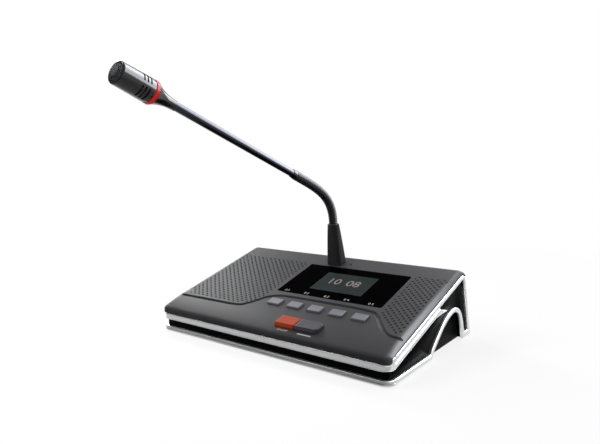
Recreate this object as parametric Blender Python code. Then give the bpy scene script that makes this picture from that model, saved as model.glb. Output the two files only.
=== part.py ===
# Desktop conference delegate unit: a wedge-shaped console with keys, display and speaker,
# and a microphone on a gooseneck.
# The origin is the middle of the console's underside, +Z is up and the user sits at -Y.

import math

import bmesh
import bpy
from mathutils import Matrix, Vector

mm = 0.001
deg = math.pi / 180
quarter_turn = 90 * deg
half_turn = 180 * deg
full_turn = 360 * deg
corner_count = 4

# Clearances and edge finish that all pieces share
gap = 0.3 * mm
overrun = 4 * mm
edge_round = 0.6 * mm
crease_angle = 35 * deg
bevel_angle = 50 * deg
corner_steps = 2
sharpest_turn = 0.4

# Console, seen from the side. The panel rises backwards, and the back is square to it.
base_width = 230 * mm
front_height = 22.7 * mm
panel_angle = 16.3 * deg
slope_length = 140 * mm
back_radius = 9.7 * mm
lip_radius = 2.6 * mm
corner_radius = 7 * mm
skin = 2.5 * mm
shell = 2.2 * mm
floor_thickness = 2.5 * mm
cover_back_drop = 18 * mm
lip_steps = 4
edge_share_most = 0.25
back_steps = 6
plan_steps = 6
inner_plan_steps = 5
case_plan_steps = 4

cos_panel = math.cos(panel_angle)
sin_panel = math.sin(panel_angle)
base_depth = slope_length * cos_panel + (front_height + slope_length * sin_panel) * math.tan(panel_angle)
back_length = (front_height + slope_length * sin_panel) / cos_panel
front_y = -base_depth / 2
half_width = base_width / 2
inset = skin + gap
core_half = half_width - inset
core_radius = corner_radius - inset
case_half = core_half - skin - gap
round_slope = slope_length - back_radius
side_start = corner_radius + gap

# Silver bands
strip_height = 4 * mm
strip_groove = 0.45 * mm
recess_height = 5.8 * mm
band_height = 5.7 * mm
rail_height = 9 * mm
ribbon_height = 4.5 * mm
back_edge = 3.4 * mm
band_low = strip_height + recess_height
band_high = band_low + band_height
lip_low = band_high + gap
rail_corner_angle = 72 * deg
beak_length = 0.6328 * base_depth
beak_start = 0.4984 * base_depth
beak_rise = 1.6 * mm
station_least = 0.03 * mm
rail_steps = 4
rail_end_steps = 2
ribbon_steps = 3
# The ribbon's tip: share of its length, and shares of its rise and of its height left there
beak_shares = [(0.4, 0.25, 1.0), (0.62, 0.55, 0.55), (1.0, 1.0, 0.03)]

# Rounded shoulder of the cover over each side frame: how far out, and how far down
shoulder_drop = 3 * mm
side_lip = 4.2 * mm
side_lip_end = 8 * mm
side_lip_thin = 1 * mm
side_lip_steps = 5
shoulder_curve = [(0.0, 0.0), (0.45, 0.12), (0.8, 0.45), (1.0, 1.0)]

# Arch between the bottom strip and the rear foot, as shares of its span and its height
arch_front = 0.4328 * base_depth
arch_rear = 0.9016 * base_depth
arch_height = 0.4474 * back_length
rim_width = 4 * mm
foot_height = 5 * mm
foot_round = 1.5 * mm
frame_back_steps = 4
# Section of the side frame's outer edge: shares of the way out and of the edge's rounding
frame_edge = [(0.0, 0.0), (0.7, 0.0), (0.9, 0.35), (1.0, 1.0)]
arch_steps = 2
arch_shares = [
    (-0.04, -0.02),
    (0.03, 0.08),
    (0.08, 0.22),
    (0.19, 0.44),
    (0.36, 0.74),
    (0.53, 0.935),
    (0.70, 1.0),
    (0.85, 0.83),
    (0.94, 0.43),
    (0.985, 0.05),
    (1.0, -0.12),
]

# Display window and the module under it, placed across the panel and up its slope
window_width = 0.4478 * base_width
window_depth = 0.3964 * slope_length
window_x = 0.1196 * base_width
window_slope = 0.5943 * slope_length
window_radius = 1.5 * mm
glass_thickness = 1.2 * mm
glass_sink = 0.1 * mm
screen_width = 0.5 * window_width
screen_depth = 0.5856 * window_depth
screen_right = 1 * mm
screen_up = 0.5 * mm
screen_x = window_x + screen_right
screen_slope = window_slope + screen_up
module_border = 5 * mm
module_thickness = 6 * mm

# Keys. Each has a cap above the panel, a flange under it and a stem in its switch.
key_count = 5
key_pitch = 0.08913 * base_width
key_first_x = -0.0465 * base_width
key_slope = 0.2607 * slope_length
key_width = 12.5 * mm
key_depth = 8 * mm
key_height = 2.2 * mm
key_radius = 0.8 * mm
key_draft = 0.4 * mm
key_top_draft = 1.2 * mm
key_corner_least = 0.2
talk_x = 0.0878 * base_width
talk_width = 18.6 * mm
chair_width = 21.4 * mm
talk_slope = 0.09 * slope_length
talk_depth = 12.4 * mm
talk_height = 3.2 * mm
talk_front_slant = 3 * mm
chair_radius = 4 * mm
key_travel = 1 * mm
flange_lip = 1 * mm
flange_thickness = 0.8 * mm
stem_side = 3 * mm
stem_radius = 0.5 * mm
switch_side = 6.2 * mm
switch_height = 3.4 * mm
stem_length = switch_height  # a pressed key's stem then ends one gap above the board
board_thickness = 1.6 * mm
board_margin = 7 * mm
board_boss_radius = 3 * mm

# Wavy groove across the panel: its bends as shares of the half width and of the slope
groove_width = 1.2 * mm
groove_depth = 0.6 * mm
groove_steps = 4
groove_shares = [
    (-0.9783, 0.1536),
    (-0.6261, 0.1571),
    (-0.3739, 0.1643),
    (-0.3017, 0.2007),
    (-0.2609, 0.2471),
    (-0.2235, 0.2950),
    (-0.1539, 0.3329),
    (-0.0435, 0.3471),
    (0.3043, 0.3514),
    (0.6261, 0.3457),
    (0.7130, 0.3086),
    (0.7739, 0.2493),
    (0.8365, 0.1914),
    (0.8957, 0.1593),
    (0.9783, 0.1500),
]

# Speaker under the left grille
speaker_x = -0.6087 * half_width
speaker_slope = 0.5857 * slope_length
speaker_radius = 28.5 * mm
speaker_cone_radius = 24.5 * mm
speaker_depth = 15.5 * mm
speaker_bottom_radius = 14 * mm
magnet_radius = 17 * mm
magnet_thickness = 7 * mm
pole_radius = 5 * mm
gasket_thickness = 1.5 * mm
sheet_thickness = 1.2 * mm
paper_thickness = 0.6 * mm
basket_taper = 3.6 * mm
pole_rise = 3.6 * mm
cone_rise = 4.8 * mm
cap_rise = 1.8 * mm
grille_radius = 17.5 * mm
grille_pitch = 5.4 * mm
grille_hole_radius = 1.15 * mm
grille_hole_sides = 6

# Fixings of the case
post_inset = 17 * mm
post_x = half_width - post_inset
post_front = 16 * mm
post_rear = 0.8 * base_depth
post_radius = 3.6 * mm
screw_radius = 1.4 * mm
screw_length = 14 * mm
screw_head_radius = 2.9 * mm
screw_head_height = 1.4 * mm
foot_inset = 31 * mm
foot_x = half_width - foot_inset
foot_front = 18 * mm
foot_back = 18.5 * mm
foot_rear = base_depth - foot_back
foot_radius = 6 * mm
foot_sink = 1.2 * mm
ground_clearance = 1 * mm

# Boards and weight on the floor of the case
main_board_side = 35 * mm
main_board_width = base_width - 2 * main_board_side
main_board_depth = 0.3541 * base_depth
main_board_front = 0.3934 * base_depth
standoff_height = 4 * mm
standoff_radius = 3 * mm
standoff_inset = 6 * mm
weight_side = 45 * mm
weight_width = base_width - 2 * weight_side
weight_depth = 0.223 * base_depth
weight_front = 20 * mm
weight_thickness = 4 * mm

# Rear panel and its two line sockets
rear_width = 120 * mm
rear_height = 0.3716 * back_length
rear_drop = 0.65 * back_length
rear_lip = 3 * mm
socket_spread = 56 * mm
socket_radius = 7.7 * mm
socket_flange_radius = 9.5 * mm
socket_flange = 1.4 * mm
socket_bore_radius = 6.5 * mm
socket_bore_depth = 7 * mm
socket_depth = 12 * mm

# Boot of the microphone, on the back of the panel and a little left of the middle
mic_x = -1.5 * mm
boot_slope = 0.8571 * slope_length
boot_width = 15.4 * mm
boot_depth = 12.8 * mm
boot_top_radius = 5.3 * mm
boot_rings = 4
boot_corner_power = 5.0
boot_sides = 24
sleeve_radius = 5 * mm
sleeve_length = 12 * mm
nut_radius = 8.5 * mm
nut_thickness = 4 * mm
nut_corner = 60 * deg
lock_x = 14.5 * mm
lock_forward = 0.5 * mm
lock_slope = boot_slope - lock_forward
lock_radius = 1.8 * mm
lock_head = 1.2 * mm
lock_shaft_radius = 1 * mm
lock_length = 5.5 * mm

# Gooseneck: its middle line starts at the boot's top and bends over into the stem's direction
boot_lean = 6.37 * mm
boot_rise = 37.02 * mm
neck_front = boot_slope * cos_panel - boot_lean
neck_height = front_height + boot_slope * sin_panel + boot_rise
boot_angle = 84.8 * deg
stem_angle = 19.6 * deg
neck_length = 80 * mm
bend_run = 26 * mm
bend_power = 1.6
neck_step = 0.5 * mm
link_count = 8
neck_radius = 4.1 * mm
ball_radius = 2.6 * mm
ball_clearance = 0.4 * mm
link_gap = 1.25 * mm
link_chamfer = 0.4 * mm
neck_sides = 12
ball_steps = 3
link_steps = 1

# Stem and microphone head, measured along the stem from the end of the gooseneck
stem_outer = 2.75 * mm
stem_bore = 1.6 * mm
stem_length_total = 141 * mm
ferrule_radius = 4.3 * mm
ferrule_length = 5 * mm
stem_in_cone = 6 * mm
cone_length = 19 * mm
cone_start = stem_length_total - stem_in_cone
cone_end = cone_start + cone_length
cone_small_radius = 3.4 * mm
cone_large_radius = 7.2 * mm
cone_power = 2.3
cone_rings = 4
ring_length = 2.7 * mm
ring_radius = 7.6 * mm
spigot_radius = 5.3 * mm
spigot_length = 4 * mm
head_radius = 7.5 * mm
head_length = 27.4 * mm
head_end = cone_end + head_length
head_wall = 1 * mm
head_floor = 2.4 * mm
rim_wall = 0.7 * mm
mouth_depth = 2.6 * mm
slot_rows = 3
slot_first = 4 * mm
slot_pitch = 2.6 * mm
slot_width = 1.1 * mm
slots_around = 4
slot_arc = 62 * deg
slot_turn = 45 * deg
slot_steps = 3
capsule_radius = 4.85 * mm
capsule_length = 6 * mm
sleeve_ring_length = 8 * mm
capsule_setback = 3.5 * mm
grille_thickness = 2 * mm
grille_dome = 1.6 * mm
dome_share = 0.7
mesh_pitch = 2.5 * mm
mesh_hole_radius = 0.6 * mm
mesh_row_turn = 60 * deg
head_sides = 24
hidden_sides = 16

# Colour, roughness and metallic share of each material
finishes = {
    "textured_grey_abs": ("58585A", 0.55, 0.0),
    "black_abs": ("222223", 0.5, 0.0),
    "silver_plated_trim": ("B9BCBB", 0.25, 0.85),
    "smoked_glass": ("060606", 0.08, 0.0),
    "lcd_glass": ("343A3A", 0.3, 0.0),
    "grey_keycap": ("8E8E94", 0.5, 0.0),
    "red_keycap": ("B5503A", 0.4, 0.0),
    "dark_grey_keycap": ("5E5E62", 0.5, 0.0),
    "circuit_board": ("1F4A2A", 0.5, 0.0),
    "zinc_plated_steel": ("8F9294", 0.35, 1.0),
    "black_rubber": ("161616", 0.85, 0.0),
    "grey_foam": ("3A3A3A", 0.95, 0.0),
    "ferrite": ("2C2C2E", 0.6, 0.0),
    "speaker_paper": ("202020", 0.9, 0.0),
    "nickel_plated_brass": ("A9A79C", 0.3, 1.0),
    "black_gooseneck": ("1C1C22", 0.35, 0.3),
    "gloss_black_head": ("0C0C0E", 0.15, 0.0),
    "red_light_ring": ("E8342C", 0.35, 0.0),
    "dark_steel_mesh": ("3F4144", 0.4, 0.7),
}


def linear(hex_colour):
    values = [int(hex_colour[i : i + 2], 16) / 255 for i in (0, 2, 4)]
    return [v / 12.92 if v <= 0.04045 else ((v + 0.055) / 1.055) ** 2.4 for v in values]


def make_material(name):
    hex_colour, roughness, metallic = finishes[name]
    made = bpy.data.materials.new(name)
    made.use_nodes = True
    shader = made.node_tree.nodes["Principled BSDF"]
    shader.inputs["Base Color"].default_value = (*linear(hex_colour), 1.0)
    shader.inputs["Roughness"].default_value = roughness
    shader.inputs["Metallic"].default_value = metallic
    return made


# Frames that place a piece: on the panel, on the back, or along the stem

def on_panel(x=0.0, slope=0.0, height=0.0):
    turned = Matrix.Rotation(panel_angle, 4, "X")
    start = Matrix.Translation((0, front_y, front_height))
    return start @ turned @ Matrix.Translation((x, slope, height))


def on_back(x=0.0, drop=0.0):
    return on_panel(x, slope_length, -drop) @ Matrix.Rotation(-quarter_turn, 4, "X")


def side_point(slope, height):
    place = on_panel(0, slope, height).translation
    return place.y, place.z


def panel_height(y):
    return front_height + (y - front_y) * math.tan(panel_angle)


def neck_angle(run):
    return stem_angle + (boot_angle - stem_angle) * math.exp(-((max(run, 0) / bend_run) ** bend_power))


def neck_place(run):
    steps = max(1, round(abs(run) / neck_step))
    y = front_y + neck_front
    z = neck_height
    for i in range(steps):
        angle = neck_angle(run * (2 * i + 1) / (2 * steps))
        y -= math.cos(angle) * run / steps
        z += math.sin(angle) * run / steps
    return Vector((mic_x, y, z)), neck_angle(run)


def along_stem(distance=0.0):
    start, angle = neck_place(neck_length)
    axis = Vector((0, -math.cos(angle), math.sin(angle)))
    across = Vector((1, 0, 0))
    turned = Matrix((across, axis.cross(across), axis)).transposed().to_4x4()
    return Matrix.Translation(start) @ turned @ Matrix.Translation((0, 0, distance))


# Outlines and rings

def rounded_rect(width, depth, radii, x=0.0, y=0.0):
    """Corners in turn from back right, anticlockwise seen from above; one radius or four."""
    if not isinstance(radii, (list, tuple)):
        radii = [radii] * corner_count
    points = []
    for quarter, radius in enumerate(radii):
        side_x = -1 if quarter in (1, 2) else 1
        side_y = 1 if quarter in (0, 1) else -1
        for i in range(corner_steps + 1):
            angle = (quarter + i / corner_steps) * quarter_turn
            points.append(
                (
                    x + side_x * (width / 2 - radius) + radius * math.cos(angle),
                    y + side_y * (depth / 2 - radius) + radius * math.sin(angle),
                )
            )
    return points


def level(points, z):
    return [Vector((x, y, z)) for x, y in points]


def circle(radius, z, sides):
    if radius == 0:
        return [Vector((0, 0, z))]
    turns = [full_turn * i / sides for i in range(sides)]
    return [Vector((radius * math.cos(turn), radius * math.sin(turn), z)) for turn in turns]


def skin_rings(bm, rings, closed=False):
    """Joins each ring to the next with faces and closes both ends, or the last ring to the first."""
    loops = [[bm.verts.new(point) for point in ring] for ring in rings]
    pairs = list(zip(loops, loops[1:]))
    if closed:
        pairs.append((loops[-1], loops[0]))
    for first, second in pairs:
        for i in range(max(len(first), len(second))):
            corners = [
                first[i % len(first)],
                first[(i + 1) % len(first)],
                second[(i + 1) % len(second)],
                second[i % len(second)],
            ]
            bm.faces.new(list(dict.fromkeys(corners)))
    if not closed:
        for loop in (loops[0], loops[-1]):
            if len(loop) > 2:
                bm.faces.new(loop)
    bmesh.ops.recalc_face_normals(bm, faces=bm.faces[:])
    return bm


def prism(points, low, high, bm=None):
    return skin_rings(bm or bmesh.new(), [level(points, low), level(points, high)])


def side_prism(points, low, high):
    """A prism across the console, from an outline in the side view (y, z)."""
    return skin_rings(bmesh.new(), [[Vector((x, y, z)) for y, z in points] for x in (low, high)])


def turned(profile, sides, closed=False, bm=None):
    """A turned piece about Z from (radius, height) points."""
    return skin_rings(bm or bmesh.new(), [circle(r, z, sides) for r, z in profile], closed)


def arc(centre, radius, start, end, steps):
    return [
        (
            centre[0] + radius * math.cos(start + (end - start) * i / steps),
            centre[1] + radius * math.sin(start + (end - start) * i / steps),
        )
        for i in range(steps + 1)
    ]


def smooth_line(points, steps):
    """A smooth curve through the points, with this many stretches between each two."""
    ends = [Vector(p) for p in (points[0], *points, points[-1])]
    slopes = [(after - before) / 2 for before, after in zip(ends, ends[2:])]
    line = []
    for i, (start, end) in enumerate(zip(ends[1:], ends[2:-1])):
        for step in range(steps):
            t = step / steps
            far = t * t * (3 - 2 * t)
            leave = t * (1 - t) * (1 - t)
            arrive = t * t * (t - 1)
            line.append(tuple(start * (1 - far) + end * far + slopes[i] * leave + slopes[i + 1] * arrive))
    line.append(tuple(points[-1]))
    return line


def offset_line(points, distance):
    """The line moved sideways, to its left for a positive distance."""
    moved = []
    for i, point in enumerate(points):
        before = Vector(points[max(i - 1, 0)])
        after = Vector(points[min(i + 1, len(points) - 1)])
        way = (after - before).normalized()
        moved.append((point[0] - way.y * distance, point[1] + way.x * distance))
    return moved


def above(points, height):
    """The part of a line over this height, cut where it crosses it."""
    kept = []
    for first, second in zip(points, points[1:]):
        if first[1] >= height:
            kept.append(first)
        if (first[1] - height) * (second[1] - height) < 0:
            share = (height - first[1]) / (second[1] - first[1])
            kept.append((first[0] + (second[0] - first[0]) * share, height))
    if points[-1][1] >= height:
        kept.append(points[-1])
    return kept


# Objects and their cuts

def add_object(bm, name, material, frame=Matrix(), helper=False):
    mesh = bpy.data.meshes.new(name)
    bm.to_mesh(mesh)
    bm.free()
    made = bpy.data.objects.new(name, mesh)
    made.matrix_world = frame
    bpy.context.collection.objects.link(made)
    if helper:
        made.hide_render = True
        made.display_type = "WIRE"
    else:
        mesh.materials.append(material)
        mesh.shade_smooth()
        mesh.set_sharp_from_angle(angle=crease_angle)
    return made


def change(target, label, bm, frame=Matrix(), operation="DIFFERENCE"):
    helper = add_object(bm, target.name + "_" + label, None, frame, helper=True)
    boolean = target.modifiers.new(label, "BOOLEAN")
    boolean.operation = operation
    boolean.solver = "EXACT"
    boolean.object = helper


def soften(target, width=edge_round):
    bevel = target.modifiers.new("edges", "BEVEL")
    bevel.width = width
    bevel.segments = 1
    bevel.limit_method = "ANGLE"
    bevel.angle_limit = bevel_angle


def hang_on(child, parent):
    bpy.context.view_layer.update()
    child.parent = parent
    child.matrix_parent_inverse = parent.matrix_world.inverted()


# Outline of the console in the side view

def back_corner(drop):
    """The round corner between panel and back, this far inside the outer line."""
    centre = side_point(round_slope, -back_radius)
    return arc(centre, back_radius - drop, quarter_turn + panel_angle, panel_angle, back_steps)


def back_line_at(z, drop=0.0):
    """The place on the line of the back, this far inside the outer line, at height z."""
    slope = slope_length - drop
    height = (z - front_height - slope * sin_panel) / cos_panel
    return side_point(slope, height)


def plan_corner(radius, steps):
    """Right front corner of the console in plan, from the front round to the side."""
    centre = (half_width - corner_radius, front_y + corner_radius)
    return arc(centre, radius, -quarter_turn, 0, steps)


def plan_prism(right_side, low, high):
    """A prism from the right half of an outline in plan, front to back, and its mirror image."""
    left_side = [(-x, y) for x, y in reversed(right_side)]
    return prism(left_side + right_side, low, high)


# Top cover

def lip_line(clearance=0.0):
    """Lower edge of the cover's side lip: along the panel, then round the back corner."""
    across = back_radius - side_lip_thin - clearance
    along = back_radius - side_lip - clearance
    end = math.acos((back_radius - side_lip_end - clearance) / along)
    points = []
    for i in range(side_lip_steps + 1):
        turn = end * i / side_lip_steps
        points.append(side_point(round_slope + across * math.sin(turn), along * math.cos(turn) - back_radius))
    return points


def lip_height(y, clearance=0.0):
    return panel_height(y) - (side_lip + clearance) / cos_panel


def build_cover(material):
    lip_top = front_height - lip_radius * (1 - math.tan(panel_angle) / 2)
    lip_centre = (front_y + lip_radius, lip_top)
    front_round = arc(lip_centre, lip_radius, half_turn, quarter_turn + panel_angle, lip_steps)
    back_round = back_corner(0)
    marked = [((front_y, lip_low), 0.0)]
    marked += [(point, i / (len(front_round) - 1)) for i, point in enumerate(front_round)]
    marked += [(point, 1 - i / (len(back_round) - 1)) for i, point in enumerate(back_round)]
    marked.append((side_point(slope_length, -cover_back_drop), 0.0))
    steps = inward([point for point, _ in marked])
    right = []
    for out_share, drop_share in shoulder_curve:
        x = half_width - skin * (1 - out_share)
        moved = []
        for (point, share), step in zip(marked, steps):
            moved.append(Vector(point) + step * shoulder_drop * share * drop_share)
        right.append([Vector((x, p.x, p.y)) for p in moved])
    left = [[Vector((-p.x, p.y, p.z)) for p in ring] for ring in reversed(right)]
    cover = add_object(skin_rings(bmesh.new(), left + right), "top_cover", material)

    plan = plan_corner(corner_radius, plan_steps)
    plan.append((half_width + overrun, front_y + corner_radius))
    plan.append((half_width + overrun, -front_y + overrun))
    change(cover, "plan", plan_prism(plan, -overrun, panel_height(-front_y) + overrun), operation="INTERSECT")

    rings = []
    for x, y in plan_corner(corner_radius - skin, inner_plan_steps):
        outline = [(y, -overrun), (y, panel_height(y) - shell / cos_panel)]
        outline += back_corner(shell)
        outline.append(side_point(slope_length - shell, -cover_back_drop - overrun))
        rings.append([Vector((x, *point)) for point in outline])
    mirrored = [[Vector((-p.x, p.y, p.z)) for p in ring] for ring in reversed(rings)]
    change(cover, "inside", skin_rings(bmesh.new(), mirrored + rings))

    start = front_y + corner_radius * (1 - math.cos(rail_corner_angle))
    below = [(start, -overrun), (start, lip_height(start))] + lip_line()
    behind = side_point(slope_length + overrun, -side_lip_end)
    below += [behind, (behind[0], -overrun)]
    inner_arc = corner_radius - skin
    reach = math.sqrt(inner_arc**2 - (corner_radius * math.cos(rail_corner_angle)) ** 2)
    cut_from = half_width - corner_radius + reach - gap / 2
    for label, side in (("left_side", -1), ("right_side", 1)):
        change(cover, label, side_prism(below, side * cut_from, side * (half_width + overrun)))

    recess = rounded_rect(window_width + 2 * gap, window_depth + 2 * gap, window_radius + gap)
    depth = glass_sink + glass_thickness + gap
    change(cover, "window", prism(recess, -depth, overrun), on_panel(window_x, window_slope))
    screen = rounded_rect(screen_width + 2 * gap, screen_depth + 2 * gap, window_radius)
    change(cover, "screen", prism(screen, -shell - overrun, 0), on_panel(screen_x, screen_slope))

    openings = bmesh.new()
    for x, slope, width, depth, radii, _ in key_places():
        around = rounded_rect(width + 2 * gap, depth + 2 * gap, [r + gap for r in radii], x, slope)
        prism(around, -shell - overrun, overrun, openings)
    talk_left, talk_right, back, front = talk_outline()
    pair_width = talk_right - talk_left
    pair = rounded_rect(
        pair_width + 2 * gap,
        back - front + 2 * gap,
        [chair_radius + gap, key_radius + gap, key_radius + gap, chair_radius + gap],
        (talk_left + talk_right) / 2,
        (back + front) / 2,
    )
    prism(pair, -shell - overrun, overrun, openings)
    for x, slope, radius in (
        (mic_x, boot_slope, sleeve_radius + gap),
        (lock_x, lock_slope, lock_shaft_radius + gap),
    ):
        hole = [(x + p.x, slope + p.y) for p in circle(radius, 0, boot_sides)]
        prism(hole, -shell - overrun, overrun, openings)
    for x, slope in grille_places():
        hole = [(x + p.x, slope + p.y) for p in circle(grille_hole_radius, 0, grille_hole_sides)]
        prism(hole, -shell - overrun, overrun, openings)
    change(cover, "openings", openings, on_panel())

    sink = [(p.x, p.y) for p in circle(lock_radius + gap, 0, head_sides)]
    change(cover, "lock_sink", prism(sink, -lock_head, overrun), on_panel(lock_x, lock_slope))
    change(cover, "groove", groove_cutter(), on_panel())

    posts = bmesh.new()
    for x, y in post_places():
        low = floor_thickness + gap
        top = [
            Vector((x + p.x, y + p.y, panel_height(y + p.y) - shell / 2))
            for p in circle(post_radius, 0, head_sides // 2)
        ]
        bottom = [Vector((p.x, p.y, low)) for p in top]
        skin_rings(posts, [bottom, top])
    for x, slope in board_bosses():
        boss = [(x + p.x, slope + p.y) for p in circle(board_boss_radius, 0, neck_sides)]
        low = [on_panel(px, py, gap - key_board_top()).translation for px, py in boss]
        high = [on_panel(px, py, -shell / 2).translation for px, py in boss]
        skin_rings(posts, [low, high])
    change(cover, "posts", posts, operation="UNION")
    pilots = bmesh.new()
    for x, y in post_places():
        hole = [(x + p.x, y + p.y) for p in circle(screw_radius + gap, 0, neck_sides)]
        prism(hole, 0, screw_length + gap, pilots)
    change(cover, "pilots", pilots)
    return cover


def groove_cutter():
    bends = [(across * half_width, up * slope_length) for across, up in groove_shares]
    line = smooth_line(bends, groove_steps)
    left = offset_line(line, groove_width / 2)
    right = offset_line(line, -groove_width / 2)
    return prism(left + list(reversed(right)), -groove_depth, overrun)


def grille_places():
    """Holes in staggered rows that lie inside the round speaker area."""
    places = []
    rows = math.ceil(2 * grille_radius / grille_pitch)
    for row in range(-rows, rows + 1):
        for column in range(-rows, rows + 1):
            x = (column + row % 2 / 2) * grille_pitch
            slope = row * grille_pitch / 2
            if math.hypot(x, slope) <= grille_radius:
                places.append((speaker_x + x, speaker_slope + slope))
    return places


def post_places():
    return [(side * post_x, front_y + y) for y in (post_front, post_rear) for side in (-1, 1)]


def foot_places():
    return [(side * foot_x, front_y + y) for y in (foot_front, foot_rear) for side in (-1, 1)]


# Keys and their board

def key_places():
    """Across, up the slope, width, depth, corner radii and height of each small key."""
    radii = [key_radius] * corner_count
    across = [key_first_x + i * key_pitch for i in range(key_count)]
    return [(x, key_slope, key_width, key_depth, radii, key_height) for x in across]


def talk_outline():
    left = talk_x - talk_width / 2
    right = left + talk_width + gap + chair_width
    return left, right, talk_slope + talk_depth / 2, talk_slope - talk_depth / 2


def talk_places():
    chair_x = talk_outline()[1] - chair_width / 2
    square = [key_radius] * corner_count
    rounded = [chair_radius, key_radius, key_radius, chair_radius]
    return [
        (talk_x, talk_slope, talk_width, talk_depth, square, talk_height),
        (chair_x, talk_slope, chair_width, talk_depth, rounded, talk_height),
    ]


def key_board_top():
    """How far the top of the key board lies under the face of the panel."""
    flange_low = shell + gap + flange_thickness
    return flange_low + key_travel + gap + switch_height


def build_key(name, place, material, slant=0.0, trim=(0.0, 0.0)):
    x, slope, width, depth, radii, height = place
    top_of_flange = -shell - gap
    low_of_flange = top_of_flange - flange_thickness
    small = [max(r - key_draft, key_corner_least * r) for r in radii]
    flange_width = width + 2 * flange_lip - trim[0] - trim[1]
    flange_x = (trim[0] - trim[1]) / 2
    flange = rounded_rect(flange_width, depth + 2 * flange_lip, radii, flange_x)
    stem = rounded_rect(stem_side, stem_side, stem_radius)
    cap_depth = depth - slant
    edge = rounded_rect(width - key_draft, cap_depth - key_draft, radii, 0, slant / 2)
    face = rounded_rect(width - key_top_draft, cap_depth - key_top_draft, small, 0, slant / 2)
    rings = [
        level(stem, low_of_flange - stem_length),
        level(stem, low_of_flange),
        level(flange, low_of_flange),
        level(flange, top_of_flange),
        level(rounded_rect(width, depth, radii), top_of_flange),
        level(rounded_rect(width, depth, radii), 0),
        level(edge, height - key_draft),
        level(face, height),
    ]
    return add_object(skin_rings(bmesh.new(), rings), name, material, on_panel(x, slope))


def board_outline():
    left = key_first_x - key_width / 2 - board_margin
    right = key_first_x + (key_count - 1) * key_pitch + key_width / 2 + board_margin
    front = talk_slope - talk_depth / 2 - flange_lip
    back = key_slope + key_depth / 2 + board_margin
    return left, right, front, back


def board_bosses():
    left, right, front, back = board_outline()
    step = board_boss_radius + gap
    return [(x, slope) for slope in (front + step, back - step) for x in (left + step, right - step)]


def build_key_board(material):
    left, right, front, back = board_outline()
    top = -key_board_top()
    width, depth = right - left, back - front
    outline = rounded_rect(width, depth, edge_round, (left + right) / 2, (front + back) / 2)
    board = add_object(prism(outline, top - board_thickness, top), "key_board", material, on_panel())
    housings = bmesh.new()
    bores = bmesh.new()
    for x, slope, *_ in key_places() + talk_places():
        body = rounded_rect(switch_side, switch_side, edge_round, x, slope)
        prism(body, top - board_thickness / 2, top + switch_height, housings)
        bore = rounded_rect(stem_side + 2 * gap, stem_side + 2 * gap, stem_radius + gap, x, slope)
        prism(bore, top, top + switch_height + overrun, bores)
    change(board, "switches", housings, on_panel(), "UNION")
    change(board, "bores", bores, on_panel())
    return board


# Silver bands that run round the front in plan

def plan_place(run, depth):
    """A place on the console's outline: run is measured from the middle of the front."""
    straight = half_width - corner_radius
    side = 1 if run >= 0 else -1
    distance = abs(run)
    quarter = corner_radius * quarter_turn
    if distance <= straight:
        return side * distance, front_y + depth
    if distance <= straight + quarter:
        angle = (distance - straight) / corner_radius
        radius = corner_radius - depth
        y = front_y + corner_radius - radius * math.cos(angle)
        return side * (straight + radius * math.sin(angle)), y
    return side * (half_width - depth), front_y + corner_radius + distance - straight - quarter


def run_at(y):
    """The run at which the outline's side reaches this distance from the front."""
    return half_width - corner_radius + corner_radius * quarter_turn + y - corner_radius


def build_band(name, material, stations, grooved=False):
    """A band of one thickness between a low and a high edge at each station, (run, low, high)."""
    rings = []
    for run, low, high in stations:
        middle = (low + high) / 2
        edge = min(edge_round, (high - low) * edge_share_most)
        section = [(skin, low), (edge, low), (0, low + edge)]
        if grooved:
            section += [
                (0, middle - strip_groove),
                (strip_groove, middle - strip_groove / 2),
                (strip_groove, middle + strip_groove / 2),
                (0, middle + strip_groove),
            ]
        section += [(0, high - edge), (edge, high), (skin, high)]
        ring = []
        for depth, z in section:
            x, y = plan_place(run, depth)
            ring.append(Vector((x, y, z)))
        rings.append(ring)
    return add_object(skin_rings(bmesh.new(), rings), name, material)


def build_lower_trim(material):
    straight = half_width - corner_radius
    side = []
    for i in range(inner_plan_steps + 1):
        side.append((straight + corner_radius * quarter_turn * i / inner_plan_steps, 0, strip_height))
    side.append((run_at(side_start - gap), 0, strip_height))
    stations = [(-run, low, high) for run, low, high in reversed(side)] + side
    return build_band("lower_trim", material, dedupe(stations), grooved=True)


def dedupe(stations):
    """Leaves out each station that lies on the one before it."""
    kept = [stations[0]]
    for station in stations[1:]:
        if abs(station[0] - kept[-1][0]) > station_least:
            kept.append(station)
    return kept


def rail_low(y):
    """Lower edge of the side rail at this distance from the front."""
    return panel_height(front_y + y) - rail_height / cos_panel


def build_upper_trim(material):
    drop = ribbon_height / cos_panel
    turn_end = side_start - gap
    side_low = max(band_low, rail_low(turn_end) - gap - drop)
    side = []
    covered = (0, rail_corner_angle, rail_steps)
    uncovered = (rail_corner_angle + gap / corner_radius, quarter_turn, rail_end_steps)
    for first, last, steps in (covered, uncovered):
        for i in range(steps + 1):
            turn = first + (last - first) * i / steps
            run = half_width - corner_radius + corner_radius * turn
            _, y = plan_place(run, 0)
            high = band_high if last == rail_corner_angle else lip_height(y, gap)
            side.append((run, band_low + (side_low - band_low) * turn / quarter_turn, high))
    side[-1] = (run_at(turn_end - gap), side_low, lip_height(front_y + turn_end, gap))
    for i in range(ribbon_steps + 1):
        y = turn_end + (beak_start - turn_end) * i / ribbon_steps
        side.append((run_at(y), max(band_low, rail_low(y) - gap - drop), rail_low(y) - gap))
    tip_low = rail_low(beak_start) - gap - drop + beak_rise
    for share, low_share, high_share in beak_shares:
        y = beak_start + (beak_length - beak_start) * share
        low = tip_low - beak_rise * (1 - low_share)
        top = rail_low(y) - gap
        side.append((run_at(y), low, tip_low + edge_round + (top - tip_low - edge_round) * high_share))
    stations = [(-run, low, high) for run, low, high in reversed(side)] + side
    return build_band("upper_trim", material, dedupe(stations))


# Side frames and cheeks

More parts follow.
